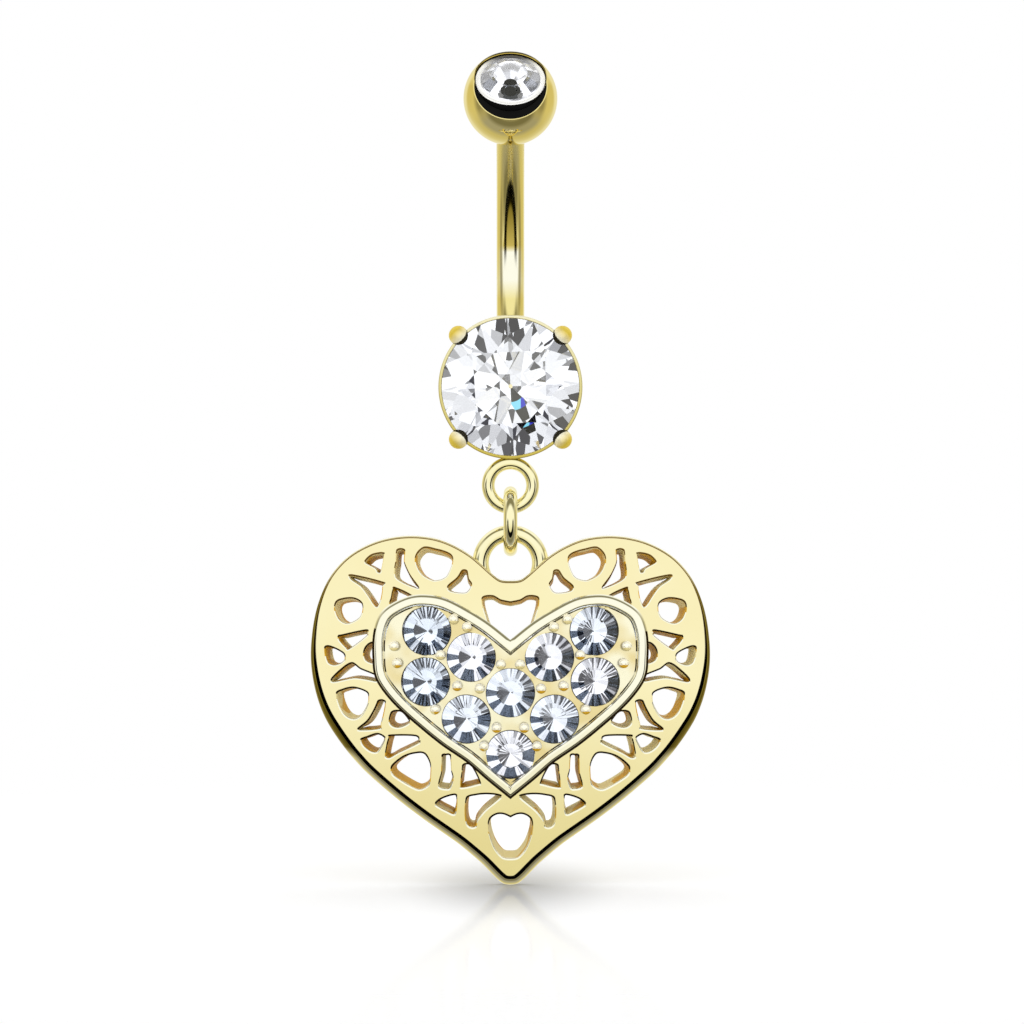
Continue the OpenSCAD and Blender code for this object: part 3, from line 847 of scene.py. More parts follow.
painted_dark_line = painted_dark_line.surface(
    Base_Color=painted_dark_line.blend(
        painted_dark_line.ranged(painted_dark_line.along("Z"), *LINE_HEAD, 0, 1), line_shade, (0.20, 0.11, 0.02)
    ),
    Metallic=1.0,
    Roughness=painted_dark_line.haze(0.06, 0.16),
)

# Below each gap its lip has a painted highlight, nearly white
lip_highlight_gold = polished_gold("lip_highlight_gold", (1.0, 1.0, 0.93), (1.0, 0.98, 0.88), cloudiness=300, wear=0.1)

# Outlines of the right half, x as a share of half the width and z as a share of the height
heart_half = [
    (0, 0.874), (0.055, 0.878), (0.120, 0.908), (0.190, 0.942), (0.270, 0.970),
    (0.370, 0.992), (0.490, 1), (0.610, 0.993), (0.720, 0.972), (0.826, 0.934),
    (0.912, 0.875), (0.970, 0.796), (0.997, 0.711), (1, 0.630), (0.973, 0.544),
    (0.921, 0.469), (0.842, 0.401), (0.772, 0.353), (0.702, 0.313), (0.562, 0.245),
    (0.421, 0.184), (0.281, 0.128), (0.211, 0.096), (0.140, 0.060), (0.075, 0.021),
    (0.035, 0.003), (0, 0),
]
gap_outlines = [
    # small fan
    [(0.635, 0.952), (0.663, 0.952), (0.702, 0.945), (0.732, 0.927), (0.720, 0.919),
     (0.680, 0.907), (0.670, 0.897), (0.648, 0.898), (0.632, 0.943)],
    # tall stroke
    [(0.569, 0.961), (0.528, 0.960), (0.530, 0.927), (0.499, 0.887), (0.460, 0.857),
     (0.474, 0.852), (0.576, 0.881), (0.577, 0.927)],
    # big upper ring
    [(0.435, 0.969), (0.379, 0.965), (0.309, 0.953), (0.286, 0.931), (0.316, 0.887),
     (0.365, 0.874), (0.400, 0.876), (0.449, 0.893), (0.477, 0.923), (0.474, 0.947)],
    # arrow beside the notch
    [(0.242, 0.904), (0.216, 0.902), (0.207, 0.879), (0.193, 0.866), (0.197, 0.855),
     (0.225, 0.839), (0.292, 0.842), (0.316, 0.851), (0.309, 0.863), (0.267, 0.883)],
    # wedge
    [(0.797, 0.889), (0.639, 0.869), (0.637, 0.859), (0.646, 0.823), (0.667, 0.797),
     (0.691, 0.807), (0.709, 0.823), (0.751, 0.855), (0.802, 0.875)],
    # wedge that runs under the tray
    [(0.576, 0.854), (0.492, 0.831), (0.480, 0.808), (0.540, 0.795), (0.604, 0.803),
     (0.600, 0.823), (0.590, 0.849)],
    # side ring
    [(0.843, 0.821), (0.793, 0.824), (0.753, 0.815), (0.737, 0.796), (0.755, 0.767),
     (0.818, 0.749), (0.865, 0.763), (0.885, 0.793), (0.873, 0.813)],
    # upper leaf
    [(0.863, 0.715), (0.842, 0.718), (0.723, 0.733), (0.715, 0.723), (0.723, 0.713),
     (0.807, 0.677), (0.828, 0.681), (0.863, 0.703)],
    # side drop
    [(0.930, 0.683), (0.902, 0.685), (0.842, 0.669), (0.827, 0.653), (0.842, 0.639),
     (0.884, 0.630), (0.919, 0.639), (0.933, 0.667)],
    # ring half under the tray
    [(0.681, 0.699), (0.716, 0.691), (0.737, 0.671), (0.734, 0.651), (0.709, 0.639),
     (0.660, 0.636), (0.620, 0.648), (0.620, 0.690)],
    # lower leaf
    [(0.793, 0.639), (0.751, 0.623), (0.667, 0.603), (0.670, 0.586), (0.702, 0.588),
     (0.786, 0.594), (0.884, 0.582), (0.897, 0.592), (0.842, 0.623)],
    # big side ring
    [(0.874, 0.550), (0.842, 0.562), (0.786, 0.569), (0.723, 0.558), (0.708, 0.542),
     (0.716, 0.518), (0.751, 0.486), (0.793, 0.477), (0.835, 0.490), (0.863, 0.518)],
    # leaning stroke
    [(0.660, 0.532), (0.628, 0.530), (0.628, 0.510), (0.646, 0.466), (0.656, 0.450),
     (0.751, 0.445), (0.762, 0.452), (0.716, 0.474), (0.680, 0.510)],
    # small ring beside the tray
    [(0.565, 0.504), (0.595, 0.499), (0.610, 0.474), (0.595, 0.459), (0.565, 0.454),
     (0.528, 0.460), (0.504, 0.471), (0.516, 0.485), (0.540, 0.500)],
    # drop by the edge
    [(0.751, 0.419), (0.716, 0.428), (0.667, 0.437), (0.632, 0.428), (0.632, 0.417),
     (0.660, 0.389), (0.680, 0.382), (0.709, 0.387), (0.740, 0.402)],
    # long leaf
    [(0.597, 0.433), (0.477, 0.433), (0.456, 0.419), (0.463, 0.409), (0.562, 0.381),
     (0.604, 0.367), (0.628, 0.371), (0.625, 0.393), (0.611, 0.425)],
    # big lower ring
    [(0.593, 0.345), (0.534, 0.373), (0.470, 0.384), (0.428, 0.381), (0.400, 0.353),
     (0.397, 0.325), (0.407, 0.293), (0.449, 0.277), (0.492, 0.283), (0.569, 0.309),
     (0.597, 0.325)],
    # slot
    [(0.344, 0.373), (0.323, 0.379), (0.299, 0.375), (0.293, 0.333), (0.285, 0.309),
     (0.302, 0.283), (0.323, 0.279), (0.362, 0.287), (0.348, 0.325)],
    # small fan by the tray's tip
    [(0.239, 0.347), (0.218, 0.353), (0.190, 0.345), (0.151, 0.301), (0.162, 0.293),
     (0.239, 0.283), (0.252, 0.291), (0.246, 0.325)],
    # lower fan
    [(0.376, 0.237), (0.344, 0.253), (0.285, 0.264), (0.268, 0.257), (0.267, 0.229),
     (0.281, 0.206), (0.316, 0.213), (0.362, 0.227)],
    # lower leaf by the middle
    [(0.221, 0.253), (0.183, 0.263), (0.120, 0.267), (0.057, 0.263), (0.053, 0.253),
     (0.120, 0.221), (0.162, 0.192), (0.172, 0.172), (0.197, 0.168), (0.221, 0.180),
     (0.230, 0.213)],
]
middle_gap_halves = [
    # under the bail, down behind the tray's notch
    [(0, 0.815), (0.050, 0.821), (0.085, 0.832), (0.130, 0.831), (0.145, 0.817),
     (0.127, 0.775), (0.095, 0.735), (0, 0.690)],
    # above the tip
    [(0, 0.200), (0.030, 0.208), (0.065, 0.209), (0.100, 0.197), (0.114, 0.175),
     (0.105, 0.143), (0.080, 0.108), (0.040, 0.081), (0, 0.077)],
]
tray_half = [
    (0, 0.707), (0.106, 0.755), (0.211, 0.792), (0.316, 0.822), (0.407, 0.832),
    (0.492, 0.829), (0.580, 0.808), (0.644, 0.777), (0.677, 0.721), (0.680, 0.650),
    (0.662, 0.591), (0.575, 0.525), (0.449, 0.460), (0.330, 0.406), (0.219, 0.363),
    (0.120, 0.314), (0, 0.258),
]


def spot(share):
    return Vector((share[0] * HEART_W / 2, (share[1] - 0.5) * HEART_H))


def between(a, b, c, d):
    return (9 * (b + c) - a - d) / 16


def open_curve(points, passes=3):
    for _ in range(passes):
        ends = [2 * points[0] - points[1], *points, 2 * points[-1] - points[-2]]
        finer = []
        for k in range(len(points) - 1):
            finer += [points[k], between(*ends[k : k + 4])]
        points = finer + [points[-1]]
    return points


def closed_curve(points, passes=3):
    for _ in range(passes):
        n = len(points)
        finer = []
        for k in range(n):
            four = [points[(k + step) % n] for step in (-1, 0, 1, 2)]
            finer += [points[k], between(*four)]
        points = finer
    return points


def whole(half):
    return half + [Vector((-p.x, p.y)) for p in reversed(half[1:-1])]


def mirrored(loop):
    return [Vector((-p.x, p.y)) for p in reversed(loop)]


def anticlockwise(loop):
    area = sum(a.cross(b) for a, b in zip(loop, loop[1:] + loop[:1]))
    return loop if area > 0 else loop[::-1]


def outward_ways(loop):
    """Unit normals of an anticlockwise loop, with the lengthening that keeps a corner's width."""
    ways = []
    for k, p in enumerate(loop):
        before = (p - loop[k - 1]).normalized()
        after = (loop[(k + 1) % len(loop)] - p).normalized()
        along = (before + after).normalized()
        stretch = 1 / max(along.dot(after), 0.5)
        ways.append((Vector((along.y, -along.x)), stretch))
    return ways


def on_dome(p, rise=0):
    """Where a point of the heart's flat drawing lies on the dome, rise above the plate's face."""
    height = math.sqrt(DOME_R**2 - p.x**2 - p.y**2)
    return Vector((p.x, p.y, height)) * (1 + rise / DOME_R)


def inside(points, loops):
    """Even-odd test of many points against many loops at once."""
    xs, ys = points[:, 0:1], points[:, 1:2]
    crossings = np.zeros(len(points), int)
    for loop in loops:
        a = np.array([tuple(p) for p in loop])
        b = np.roll(a, -1, 0)
        rising = (a[:, 1] > ys) != (b[:, 1] > ys)
        slope = np.where(b[:, 1] == a[:, 1], 1e-12, b[:, 1] - a[:, 1])
        at = a[:, 0] + (ys - a[:, 1]) * (b[:, 0] - a[:, 0]) / slope
        crossings += (rising & (xs < at)).sum(1)
    return crossings % 2 == 1


GRID, ROW, CLEARANCE = 0.42, 0.87, 0.45


def sheet_between(loops):
    """Triangles that fill the drawing between loops, with inner points so that it can bend."""
    flat = [p for loop in loops for p in loop]
    edges, start = [], 0
    for loop in loops:
        n = len(loop)
        edges += [(start + k, start + (k + 1) % n) for k in range(n)]
        start += n
    outline = np.array([tuple(p) for p in flat])
    low, high = outline.min(0), outline.max(0)
    steps = np.ceil((high - low) / GRID).astype(int)
    grid = np.array(
        [
            (low[0] + GRID * (i + 0.5 * (j % 2)), low[1] + GRID * ROW * j)
            for i in range(steps[0] + 1)
            for j in range(int(steps[1] / ROW) + 1)
        ]
    )
    grid = grid[inside(grid, loops)]
    far = np.array([((outline - g) ** 2).sum(1).min() > (CLEARANCE * GRID) ** 2 for g in grid])
    grid = [Vector(g) for g in grid[far]]
    points, _, faces, sources, _, _ = delaunay_2d_cdt(flat + grid, edges, [], 0, 1e-7)
    middles = np.array([tuple(sum((points[i] for i in f), Vector((0, 0))) / 3) for f in faces])
    kept = [f for f, ok in zip(faces, inside(middles, loops)) if ok]
    return points, kept, sources


class Casting:
    """A casting on the dome: loops of its drawing at several depths, joined by walls."""

    def __init__(self):
        self.shape = bmesh.new()

    def ring(self, loop, rise):
        return [self.shape.verts.new(on_dome(p, rise)) for p in loop]

    def wall(self, rings, finish=0):
        """Walls from ring to ring, with one finish, or one for each point."""
        finishes = finish if isinstance(finish, list) else [finish] * len(rings[0])
        for first, second in zip(rings, rings[1:]):
            for k in range(len(first)):
                corners = (first[k - 1], first[k], second[k], second[k - 1])
                self.shape.faces.new(corners).material_index = finishes[k]

    def fill(self, loops, rings, rise, finish=0):
        points, faces, sources = sheet_between(loops)
        edge = [v for ring in rings for v in ring]
        corners = {}
        for k, (p, source) in enumerate(zip(points, sources)):
            known = [s for s in source if s < len(edge)]
            corners[k] = edge[known[0]] if known else self.shape.verts.new(on_dome(p, rise))
        for face in faces:
            trio = [corners[i] for i in face]
            if len(set(trio)) == 3:
                self.shape.faces.new(trio).material_index = finish

    def piece(self, name):
        mesh = bpy.data.meshes.new(name)
        bmesh.ops.remove_doubles(self.shape, verts=self.shape.verts, dist=0.0005)
        bmesh.ops.recalc_face_normals(self.shape, faces=self.shape.faces)
        self.shape.to_mesh(mesh)
        self.shape.free()
        piece = bpy.data.objects.new(name, mesh)
        bpy.context.collection.objects.link(piece)
        return piece


# The outer edge's width below and on top, the gaps' lips, and the flat chamfer that edges start with
EDGE_BELOW, EDGE_TOP, LIP, LIP_MORE, BACK_LIP, DRAFT = 0.54, 0.12, 0.05, 0.11, 0.1, 0.1
CHAMFER, CHAMFER_W, CHAMFER_SHARE, HOLD, ROOM_USED = math.radians(10), 0.17, 0.45, 0.04, 0.8
EDGE_STEPS, LIP_STEPS, BACK_STEPS = 12, 4, 3
# How far up an edge faces where it starts to widen, over what turn, and how gently
EDGE_UP, EDGE_TURN, EDGE_EASE, LIP_UP, LIP_TURN = 0.51, 1.04, 1.25, 0.1, 0.5


def edge_section(width, steps):
    """(inset, drop) pairs across an edge: a flat chamfer, then a round that ends in the wall."""
    line = min(CHAMFER_W, CHAMFER_SHARE * width)
    radius = (width - line) / (1 - math.sin(CHAMFER))
    foot = line * math.tan(CHAMFER) + radius * math.cos(CHAMFER)
    turns = [CHAMFER + (math.pi / 2 - CHAMFER) * k / steps for k in range(steps + 1)]
    round_part = [(radius * (1 - math.sin(t)), foot - radius * math.cos(t)) for t in turns]
    return [(width + HOLD, 0), (width, 0), *round_part]


def back_section(steps):
    """(inset, height over the back) from the wall to the plate's back."""
    turns = [math.pi / 2 * k / steps for k in range(steps + 1)]
    return [(BACK_LIP * (1 - math.cos(t)), BACK_LIP * (1 - math.sin(t))) for t in turns]


heart_loop = anticlockwise(whole(open_curve([spot(p) for p in heart_half])))
gap_loops = []
for outline in gap_outlines:
    loop = closed_curve([spot(p) for p in outline])
    gap_loops += [anticlockwise(loop), anticlockwise(mirrored(loop))]
for half in middle_gap_halves:
    gap_loops.append(anticlockwise(whole(open_curve([spot(p) for p in half]))))


def shifted(loop, widths):
    """A loop moved along its own outward normals, by a width for each point."""
    return [
        p + way * stretch * w for p, (way, stretch), w in zip(loop, outward_ways(loop), widths)
    ]


def room_inside(loop):
    """For each point, the radius of the largest circle that fits inside the loop against it."""
    at = np.array([tuple(p) for p in loop])
    inward = -np.array([tuple(way) for way, _ in outward_ways(loop)])
    rooms = []
    for p, way in zip(at, inward):
        apart = at - p
        ahead = apart @ way
        reach = (apart**2).sum(1)[ahead > 1e-6] / (2 * ahead[ahead > 1e-6])
        rooms.append(reach.min())
    return rooms


def edge_width(way):
    """Width of the outer edge where it faces that way: it grows as the edge turns downwards."""
    share = min(max((EDGE_UP - way.y) / EDGE_TURN, 0), 1)
    return EDGE_TOP + (EDGE_BELOW - EDGE_TOP) * share**EDGE_EASE


def straight_on_dome(p, rise):
    """Like on_dome, but the rise is square to the flat drawing."""
    return on_dome(p) + Vector((0, 0, rise))


plate = Casting()
SMOOTHINGS = 6
outer_widths = [edge_width(way) for way, _ in outward_ways(heart_loop)]
for _ in range(SMOOTHINGS):
    outer_widths = [
        (outer_widths[k - 1] + 2 * w + outer_widths[(k + 1) % len(outer_widths)]) / 4
        for k, w in enumerate(outer_widths)
    ]
AS_CAST_SHADED, SHADE_LINE, EDGE_BAND, BRIGHT_LIP = 1, 2, 3, 4
SHADED_UP, BRIGHT_UP = 0.12, -0.25
front_loops, front_rings, back_loops, back_rings = [], [], [], []

# The outline: each point has its own width of edge, and its walls are square to the drawing
outline_sections = [edge_section(w, EDGE_STEPS) for w in outer_widths]
outline_rings = []
for step in zip(*outline_sections):
    moved_loop = shifted(heart_loop, [-inset for inset, _ in step])
    outline_rings.append(
        [plate.shape.verts.new(straight_on_dome(p, -drop)) for p, (_, drop) in zip(moved_loop, step)]
    )
    if not front_loops:
        front_loops.append(moved_loop)
for inset, height in back_section(BACK_STEPS):
    moved_loop = shifted(heart_loop, [-inset] * len(heart_loop))
    outline_rings.append(
        [plate.shape.verts.new(straight_on_dome(p, height - PLATE_T)) for p in moved_loop]
    )
back_loops.append(moved_loop)
front_rings.append(outline_rings[0])
back_rings.append(outline_rings[-1])
ROUND_FOOT = EDGE_STEPS + 2
# Its flat chamfer is a painted dark line, and its round has painted dark reflection at the sides
plate.wall(outline_rings[:2])
plate.wall(outline_rings[1:3], SHADE_LINE)
plate.wall(outline_rings[2 : ROUND_FOOT + 1], EDGE_BAND)
plate.wall(outline_rings[ROUND_FOOT:])

# The gaps: walls square to the dome, a little narrower at the back, left as cast and darkened with
# painted shade. Lips that face up or down are wider, most of all on the lower gaps.
for loop in gap_loops:
    ups = [way.y for way, _ in outward_ways(loop)]
    heaviness = 1 - sum(p.y for p in loop) / len(loop) / HEART_H
    turns = [min(max(abs(up) - LIP_UP, 0), LIP_TURN) for up in ups]
    widths = [LIP + LIP_MORE * heaviness * turn for turn in turns]
    lip_sections = [edge_section(w, LIP_STEPS) for w in widths]
    rooms = room_inside(loop)
    lip_loops, lip_rings = [], []
    for step in zip(*lip_sections):
        outs = [max(inset - LIP, -ROOM_USED * r) for (inset, _), r in zip(step, rooms)]
        moved_loop = shifted(loop, outs)
        lip_loops.append(moved_loop)
        lip_rings.append(
            [plate.shape.verts.new(on_dome(p, -drop)) for p, (_, drop) in zip(moved_loop, step)]
        )
    foot_loops = []
    for inset, height in back_section(BACK_STEPS):
        outs = [max(inset - LIP - DRAFT, -ROOM_USED * r) for r in rooms]
        foot_loops.append((shifted(loop, outs), height - PLATE_T))
    foot_rings = [plate.ring(*pair) for pair in foot_loops]
    # Lips at the gaps' tops are painted as a dark shade line, and those at their bottoms as a painted
    # highlight
    lip_finishes = [
        SHADE_LINE if up > SHADED_UP else BRIGHT_LIP if up < BRIGHT_UP else AS_CAST_SHADED for up in ups
    ]
    plate.wall(lip_rings[:2])
    plate.wall(lip_rings[1:], lip_finishes)
    plate.wall([lip_rings[-1], foot_rings[0]], AS_CAST_SHADED)
    plate.wall(foot_rings)
    front_loops.append(lip_loops[0])
    front_rings.append(lip_rings[0])
    back_loops.append(foot_loops[-1][0])
    back_rings.append(foot_rings[-1])

# The plate is hollow under the tray, where the stones' points reach down
POCKET_INSET, POCKET_DEPTH = 1.0, 0.85
tray_loop = anticlockwise(whole(open_curve([spot(p) for p in tray_half])))


def inset_tray(width):
    """The tray's outline moved inwards, kept on its own side of the middle."""
    moved_loop = shifted(tray_loop, [-width] * len(tray_loop))
    return [
        Vector((max(p.x, 0) if q.x >= 0 else min(p.x, 0), p.y))
        for p, q in zip(moved_loop, tray_loop)
    ]


def tidied(loop, least=0.02):
    """The loop without points that lie on each other."""
    kept = [loop[0]]
    for p in loop[1:]:
        if (p - kept[-1]).length > least:
            kept.append(p)
    return kept if (kept[0] - kept[-1]).length > least else kept[:-1]


pocket_loop = tidied(inset_tray(POCKET_INSET))
pocket_rings = [plate.ring(pocket_loop, 0), plate.ring(pocket_loop, -POCKET_DEPTH)]
plate.wall(pocket_rings)
plate.fill([pocket_loop], [pocket_rings[1]], -POCKET_DEPTH)
plate.fill([*front_loops, pocket_loop], [*front_rings, pocket_rings[0]], 0)
plate.fill(back_loops, back_rings, -PLATE_T)
plate_finishes = [pale_gold, cast_gold_shaded, painted_dark_line, edge_gold, lip_highlight_gold]
settle(plate.piece("heart_plate"), "heart", plate_finishes, "heart", in_heart)

# Tray of the small stones
# A raised heart-shaped tray, cast with the plate: a bright rounded rim, a flat floor with a
# round seat for each stone, and beads raised from the floor that hold the stones' edges.
TRAY_RISE, FLOOR_RISE, RIM_W = 0.85, 0.4, 0.63
SMALL_D, SMALL_LIFT, BEAD_D, BEAD_H, BEAD_CAP = 2.76, 0.1, 0.58, 0.585, 0.24
small_spots = [
    (-0.415, 0.731), (0.415, 0.731), (-0.194, 0.658), (0.194, 0.658), (-0.420, 0.588),
    (0.420, 0.588), (0, 0.558), (-0.2185, 0.483), (0.2185, 0.483), (0, 0.383),
]
bead_spots = [
    (0.281, 0.764), (0.214, 0.742), (0.573, 0.688), (0.558, 0.640), (0.344, 0.664),
    (0.047, 0.638), (0.262, 0.577), (0.151, 0.570), (0.371, 0.511), (0.068, 0.460),
    (0.130, 0.408),
]
RIM_LINE, RIM_CHAMFER, RIM_SLOPE = 0.15, 0.1, math.radians(14)
RIM_IN, RIM_FOOT, RIM_STEPS, SEAT_GAP, SEAT_SIDES = 0.16, 0.05, 5, 0.02, 48
# The tray's gold is painted paler than the plate's, as a highlight on the raised rim
tray_gold = polished_gold(
    "tray_gold", (1.0, 0.985, 0.91), (1.0, 0.975, 0.88), cloudiness=300, wear=0.05
)
bead_shine = Finish("bead_shine")
bead_shine = bead_shine.surface(
    Base_Color=bead_shine.blend(bead_shine.noise(500), (0.97, 0.92, 0.74), (1.0, 0.96, 0.82)),
    Metallic=0.5,
    Roughness=bead_shine.haze(0.15, 0.3),
)

tray = Casting()
chamfer_rise = TRAY_RISE - RIM_CHAMFER * math.tan(RIM_SLOPE)
wall_section = [
    (0, -SOLDER),
    (0, chamfer_rise - RIM_LINE - HOLD),
    (0, chamfer_rise - RIM_LINE),
    (RIM_LINE, chamfer_rise),
    (RIM_LINE + RIM_CHAMFER, TRAY_RISE),
    (RIM_LINE + RIM_CHAMFER + HOLD, TRAY_RISE),
    (RIM_W - RIM_IN - HOLD, TRAY_RISE),
]
wall_section += [
    (RIM_W - RIM_IN + RIM_IN * math.sin(t), TRAY_RISE - RIM_IN * (1 - math.cos(t)))
    for t in [math.pi / 2 * k / RIM_STEPS for k in range(RIM_STEPS + 1)]
]
wall_section += [(RIM_W, FLOOR_RISE + RIM_FOOT), (RIM_W + RIM_FOOT, FLOOR_RISE)]
tray_floor = Finish("tray_floor")
floor_patches = tray_floor.ranged(tray_floor.noise(420), 0.42, 0.62, 0, 1)
tray_floor = tray_floor.surface(
    Base_Color=tray_floor.blend(floor_patches, (1.0, 0.96, 0.80), (0.86, 0.73, 0.42)),
    Metallic=1.0,
    Roughness=tray_floor.haze(0.1, 0.25),
)
tray_rings = [tray.ring(inset_tray(inset), rise) for inset, rise in wall_section]
RIM_BRIGHT, TRAY_FLOOR, RIM_SHADE_LINE, LINE_UP = 0, 1, 2, 0.2
# The rim's outer chamfer is painted as a dark shade line where it faces down or sideways
line_finishes = [RIM_SHADE_LINE if way.y < LINE_UP else RIM_BRIGHT for way, _ in outward_ways(tray_loop)]
tray.wall(tray_rings[:3])
tray.wall(tray_rings[2:4], line_finishes)
tray.wall(tray_rings[3:])
seat_loops = []
for share in small_spots:
    middle = spot(share)
    seat_loops.append(
        [
            middle + Vector((math.cos(t), math.sin(t))) * (SMALL_D / 2 + SEAT_GAP)
            for t in [2 * math.pi * k / SEAT_SIDES for k in range(SEAT_SIDES)]
        ]
    )
seat_tops = [tray.ring(loop, FLOOR_RISE) for loop in seat_loops]
seat_feet = [tray.ring(loop, -SOLDER) for loop in seat_loops]
for top, foot in zip(seat_tops, seat_feet):
    tray.wall([top, foot])
floor_loop = inset_tray(wall_section[-1][0])
tray.fill([floor_loop, *seat_loops], [tray_rings[-1], *seat_tops], FLOOR_RISE, TRAY_FLOOR)
tray.fill([tray_loop, *seat_loops], [tray_rings[0], *seat_feet], -SOLDER)
settle(
    tray.piece("heart_tray"),
    "heart", [tray_gold, tray_floor, painted_dark_line], "heart", in_heart, sharp=40,
)


def standing(share, rise):
    """A turn and place on the dome, with Z square to it."""
    top = on_dome(spot(share), rise)
    return Matrix.Translation(top) @ Vector((0, 0, 1)).rotation_difference(top).to_matrix().to_4x4()


# Each bead has painted shading: its cap is bright on top and khaki below, its straight wall black
BEAD_STEPS, BEAD_SIDES, WALL_TILT, KHAKI_DOWN = 8, 32, 0.1, 0.34
CAP_BRIGHT, CAP_KHAKI, WALL_BLACK = 0, 1, 2
bead_section = [(0, -SOLDER), (BEAD_D / 2, -SOLDER)] + [
    (BEAD_D / 2 * math.cos(t), BEAD_H - BEAD_CAP * (1 - math.sin(t)))
    for t in [math.pi / 2 * k / BEAD_STEPS for k in range(BEAD_STEPS)]
] + [(0, BEAD_H)]
beads = []
for share in bead_spots:
    for side in (-1, 1):
        bead = lathe("bead", bead_section, BEAD_SIDES)
        coat(bead, bead_shine, cast_gold_shaded, painted_dark_line)
        for face in bead.data.polygons:
            cap = CAP_KHAKI if face.normal.y < -KHAKI_DOWN else CAP_BRIGHT
            face.material_index = WALL_BLACK if abs(face.normal.z) < WALL_TILT else cap
        bead.data.transform(standing((side * share[0], share[1]), FLOOR_RISE))
        beads.append(bead)
alone(beads[0])
for bead in beads:
    bead.select_set(True)
bpy.ops.object.join()
settle(new_piece("tray_beads"), "heart", [bead_shine], "heart", in_heart)

# Above their middles the small stones are pale; below, more than half of the facets are painted
# nearly black as shade. Six of the stones are bluer, and every other one is turned by half a facet.
COOL_STONES, HALF_FACET = (1, 2, 5, 7, 8, 9), 180 / SMALL_SIDES
SMALL_LIGHTS = [0.03, 0.9, 0.75, 1, 0.8, 0.95, 0.7, 1, 0.85, 0.95] + [0.03, 1, 0.02, 0.9, 0.03] * 2
for k, share in enumerate(small_spots):
    glass = cool_glass if (k + 1) in COOL_STONES else lead_glass
    turn = HALF_FACET * (k % 2)
    settle(
        stone_copy(small_cut, f"small_stone_{k + 1}", SMALL_D, SMALL_LIGHTS, turn, glass=glass),
        "heart", [clear_crystal], f"heart_stone_{k + 1}",
        in_heart @ standing(share, FLOOR_RISE + SMALL_LIFT), sharp=1,
    )
for cut in (brilliant, gem_cut, small_cut):
    bpy.data.objects.remove(cut)

# Bail
# A ring of heavier wire behind the heart's notch, soldered to the plate's back.
settle(
    wire_ring("heart_bail", BAIL_D, BAIL_WIRE),
    "heart", [link_gold], "heart", moved(0, HANG_Y, BAIL_Z) @ facing,
)

# Floor and light
# A white table top just under the heart's tip, and a white studio with dark cards that only
# the polished metal and the stones reflect. Sizes here are in metres.
FLOOR_GAP, FLOOR_R, FLOOR_Y, FLOOR_FADE = 0.00002, 0.09, -0.008, (0.03, 0.07)
SHADOW_REACH, FLOOR_GLOSS = (1 / 0.0070, 1 / 0.021, 0), 0.15
FLOOR_WHITE, FLOOR_GREY = (0.68, 0.68, 0.68), (0.40, 0.40, 0.40)
bpy.ops.mesh.primitive_circle_add(
    vertices=96, radius=FLOOR_R, fill_type="NGON", location=(0, FLOOR_Y, cad_box[0].z - FLOOR_GAP)
)
floor = new_piece("floor")

# The heart's soft shadow is painted on the floor, as an ellipse under the tip
table_top = Finish("table_top")
from_tip = table_top.length(table_top.vector("MULTIPLY", table_top.places(), SHADOW_REACH))
shadow = table_top.node(
    "ShaderNodeMapRange", {"interpolation_type": "SMOOTHSTEP"},
    {"Value": from_tip, 1: 0.0, 2: 1.0, 3: 1.0, 4: 0.0},
)
shine = table_top.node("ShaderNodeBsdfAnisotropic", {}, {"Color": (1, 1, 1), "Roughness": 0.08})
matt = table_top.node(
    "ShaderNodeBsdfDiffuse", {}, {"Color": table_top.blend(shadow, FLOOR_WHITE, FLOOR_GREY)}
)
glossed = table_top.node("ShaderNodeMixShader", {}, {0: FLOOR_GLOSS, 1: matt, 2: shine})
clear = table_top.node("ShaderNodeBsdfTransparent")
fade = table_top.ranged(table_top.length(table_top.places()), *FLOOR_FADE, 0, 1)
table_top.node(
    "ShaderNodeOutputMaterial", {},
    {"Surface": table_top.node("ShaderNodeMixShader", {}, {0: fade, 1: glossed, 2: clear})},
)
coat(floor, table_top.data)
floor.visible_glossy = floor.visible_transmission = False

scene = bpy.context.scene
scene.view_settings.view_transform = "Standard"
scene.world = bpy.data.worlds.new("studio")
scene.world.cycles.sampling_method = "NONE"
studio = Finish("studio", scene.world)
way = studio.node("ShaderNodeTexCoord", out="Generated")
x, y, z = (studio.along(axis, way) for axis in "XYZ")
# Degrees from the camera's side, 0 towards it and 180 behind the ring, and the upward share of
# the way across
away = (y * -1).math("ARCCOSINE") * (180 / math.pi)
upness = z.math("DIVIDE", (x * x + z * z + 0.0001).math("SQRT"))


def band(value, low, high, soft):
    """1 between low and high, with soft ends."""
    return studio.ranged(value, low - soft, low + soft, 0, 1) * studio.ranged(
        value, high - soft, high + soft, 1, 0
    )


# Bands of upness: each is low, high and softness
BELOW, NOT_ABOVE, ASIDE = (-2, -0.35, 0.25), (-2, 0.15, 0.12), (-0.5, 0.5, 0.2)
OVERHEAD, ALL_ROUND, EVERYWHERE = (0.55, 2, 0.15), (-2, 2, 0.1), (-9, 9, 1)
STRAIGHT_UP, STRAIGHT_DOWN = (1.0, 1.0, 0.88), (0.82, 0.78, 0.52)
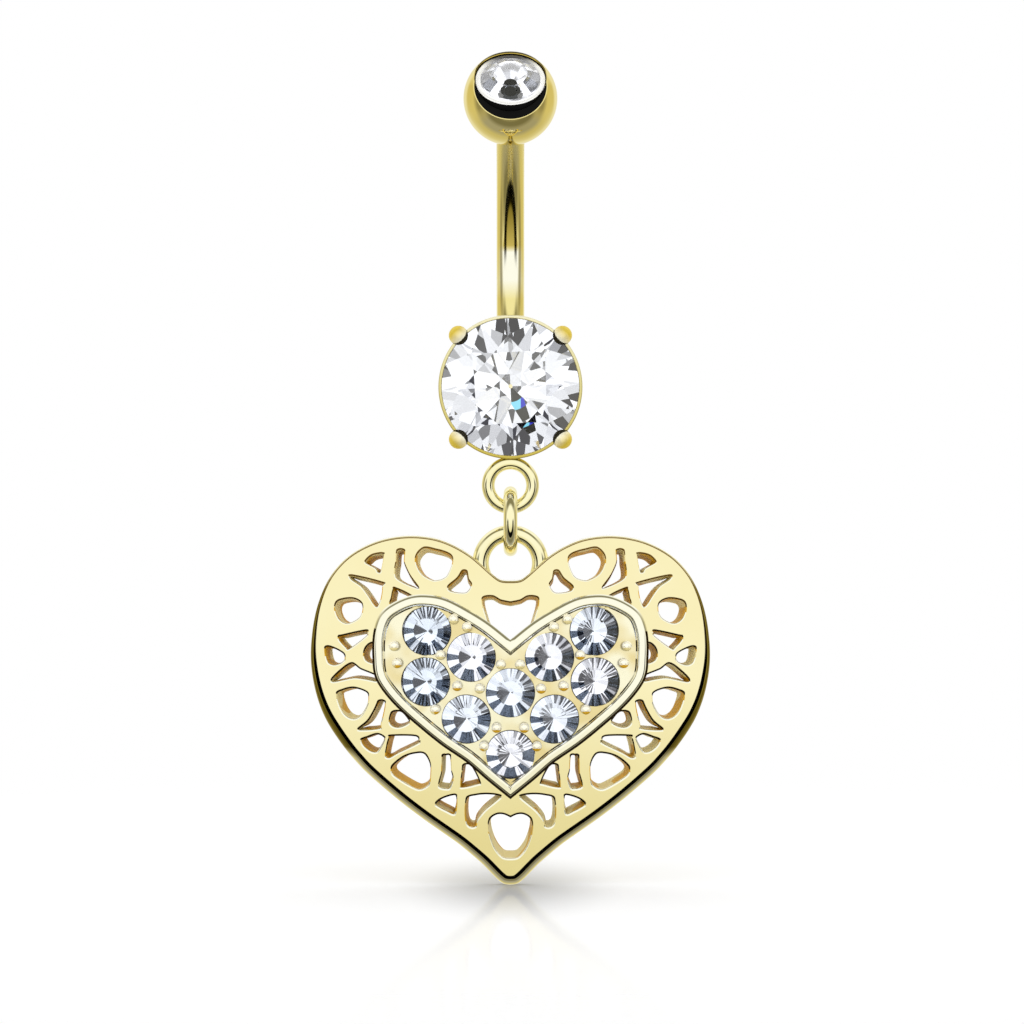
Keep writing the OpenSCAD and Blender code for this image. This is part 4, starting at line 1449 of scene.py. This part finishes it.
# What the polished metal mirrors, laid one over another: colour, degrees from the camera's side
# as low, high and softness, band of upness, and strength
metal_zones = [
    # a gold-grey room beyond the card, with darker stretches next to it
    ((0.64, 0.59, 0.34), (54, 142, 6), BELOW, 1),
    ((0.36, 0.36, 0.36), (54, 104, 8), BELOW, 0.85),
    ((0.14, 0.13, 0.06), (54, 76, 6), BELOW, 0.75),
    ((0.72, 0.65, 0.34), (72, 138, 8), ASIDE, 1),
    ((0.26, 0.24, 0.16), (74, 98, 7), ASIDE, 0.85),
    # paler towards the back, with a white rim at the very back
    ((0.86, 0.83, 0.64), (128, 160, 12), BELOW, 0.7),
    ((0.88, 0.86, 0.70), (144, 190, 8), ALL_ROUND, 1),
    ((1.05, 1.05, 1.05), (168, 200, 2), EVERYWHERE, 1),
    # a dim arc over the top
    ((0.16, 0.14, 0.05), (60, 90, 6), OVERHEAD, 0.9),
    # the black card under and beside the camera
    ((0.003, 0.003, 0.003), (33, 54, 2), NOT_ABOVE, 1),
]
metal = studio.blend(studio.ranged(z, -0.42, 0.0, 0, 1), STRAIGHT_DOWN, STRAIGHT_UP)
for colour, away_band, upness_band, strength in metal_zones:
    zone = band(away, *away_band) * band(upness, *upness_band) * strength
    metal = studio.blend(zone, metal, colour)

# What the stones gather: a white room with soft dark gaps, brighter above
STONE_LOW, STONE_HIGH, STONE_GAP = (0.95, 0.97, 1.02), (1.5, 1.53, 1.6), (0.10, 0.10, 0.115)
gap_waves = (x * 6.4 + 5.3, z * 8.5 + 1.1, (x * 0.25 + z * 0.21 + y * 0.94) * 5.88 + 6.1)
first, second, third = (wave.math("SINE") for wave in gap_waves)
stone_light = studio.blend(studio.ranged(z, -0.5, 0.5, 0, 1), STONE_LOW, STONE_HIGH)
stone_light = studio.blend(
    studio.ranged(first + second + third, 0.5, 1.5, 0, 1), stone_light, STONE_GAP
)

# Through a stone its own light is seen, matt surfaces get a plain one, and the background is white
inside_stone, scattered, seen = (
    studio.node("ShaderNodeLightPath", out=name)
    for name in ("Transmission Depth", "Is Diffuse Ray", "Is Camera Ray")
)
light = studio.blend(inside_stone > 0.5, metal, stone_light)
light = studio.blend(scattered, light, (1.6, 1.6, 1.6))
light = studio.blend(seen, light, (1, 1, 1))
studio.node(
    "ShaderNodeOutputWorld", {},
    {"Surface": studio.node("ShaderNodeBackground", {}, {"Color": light, "Strength": 1.0})},
)
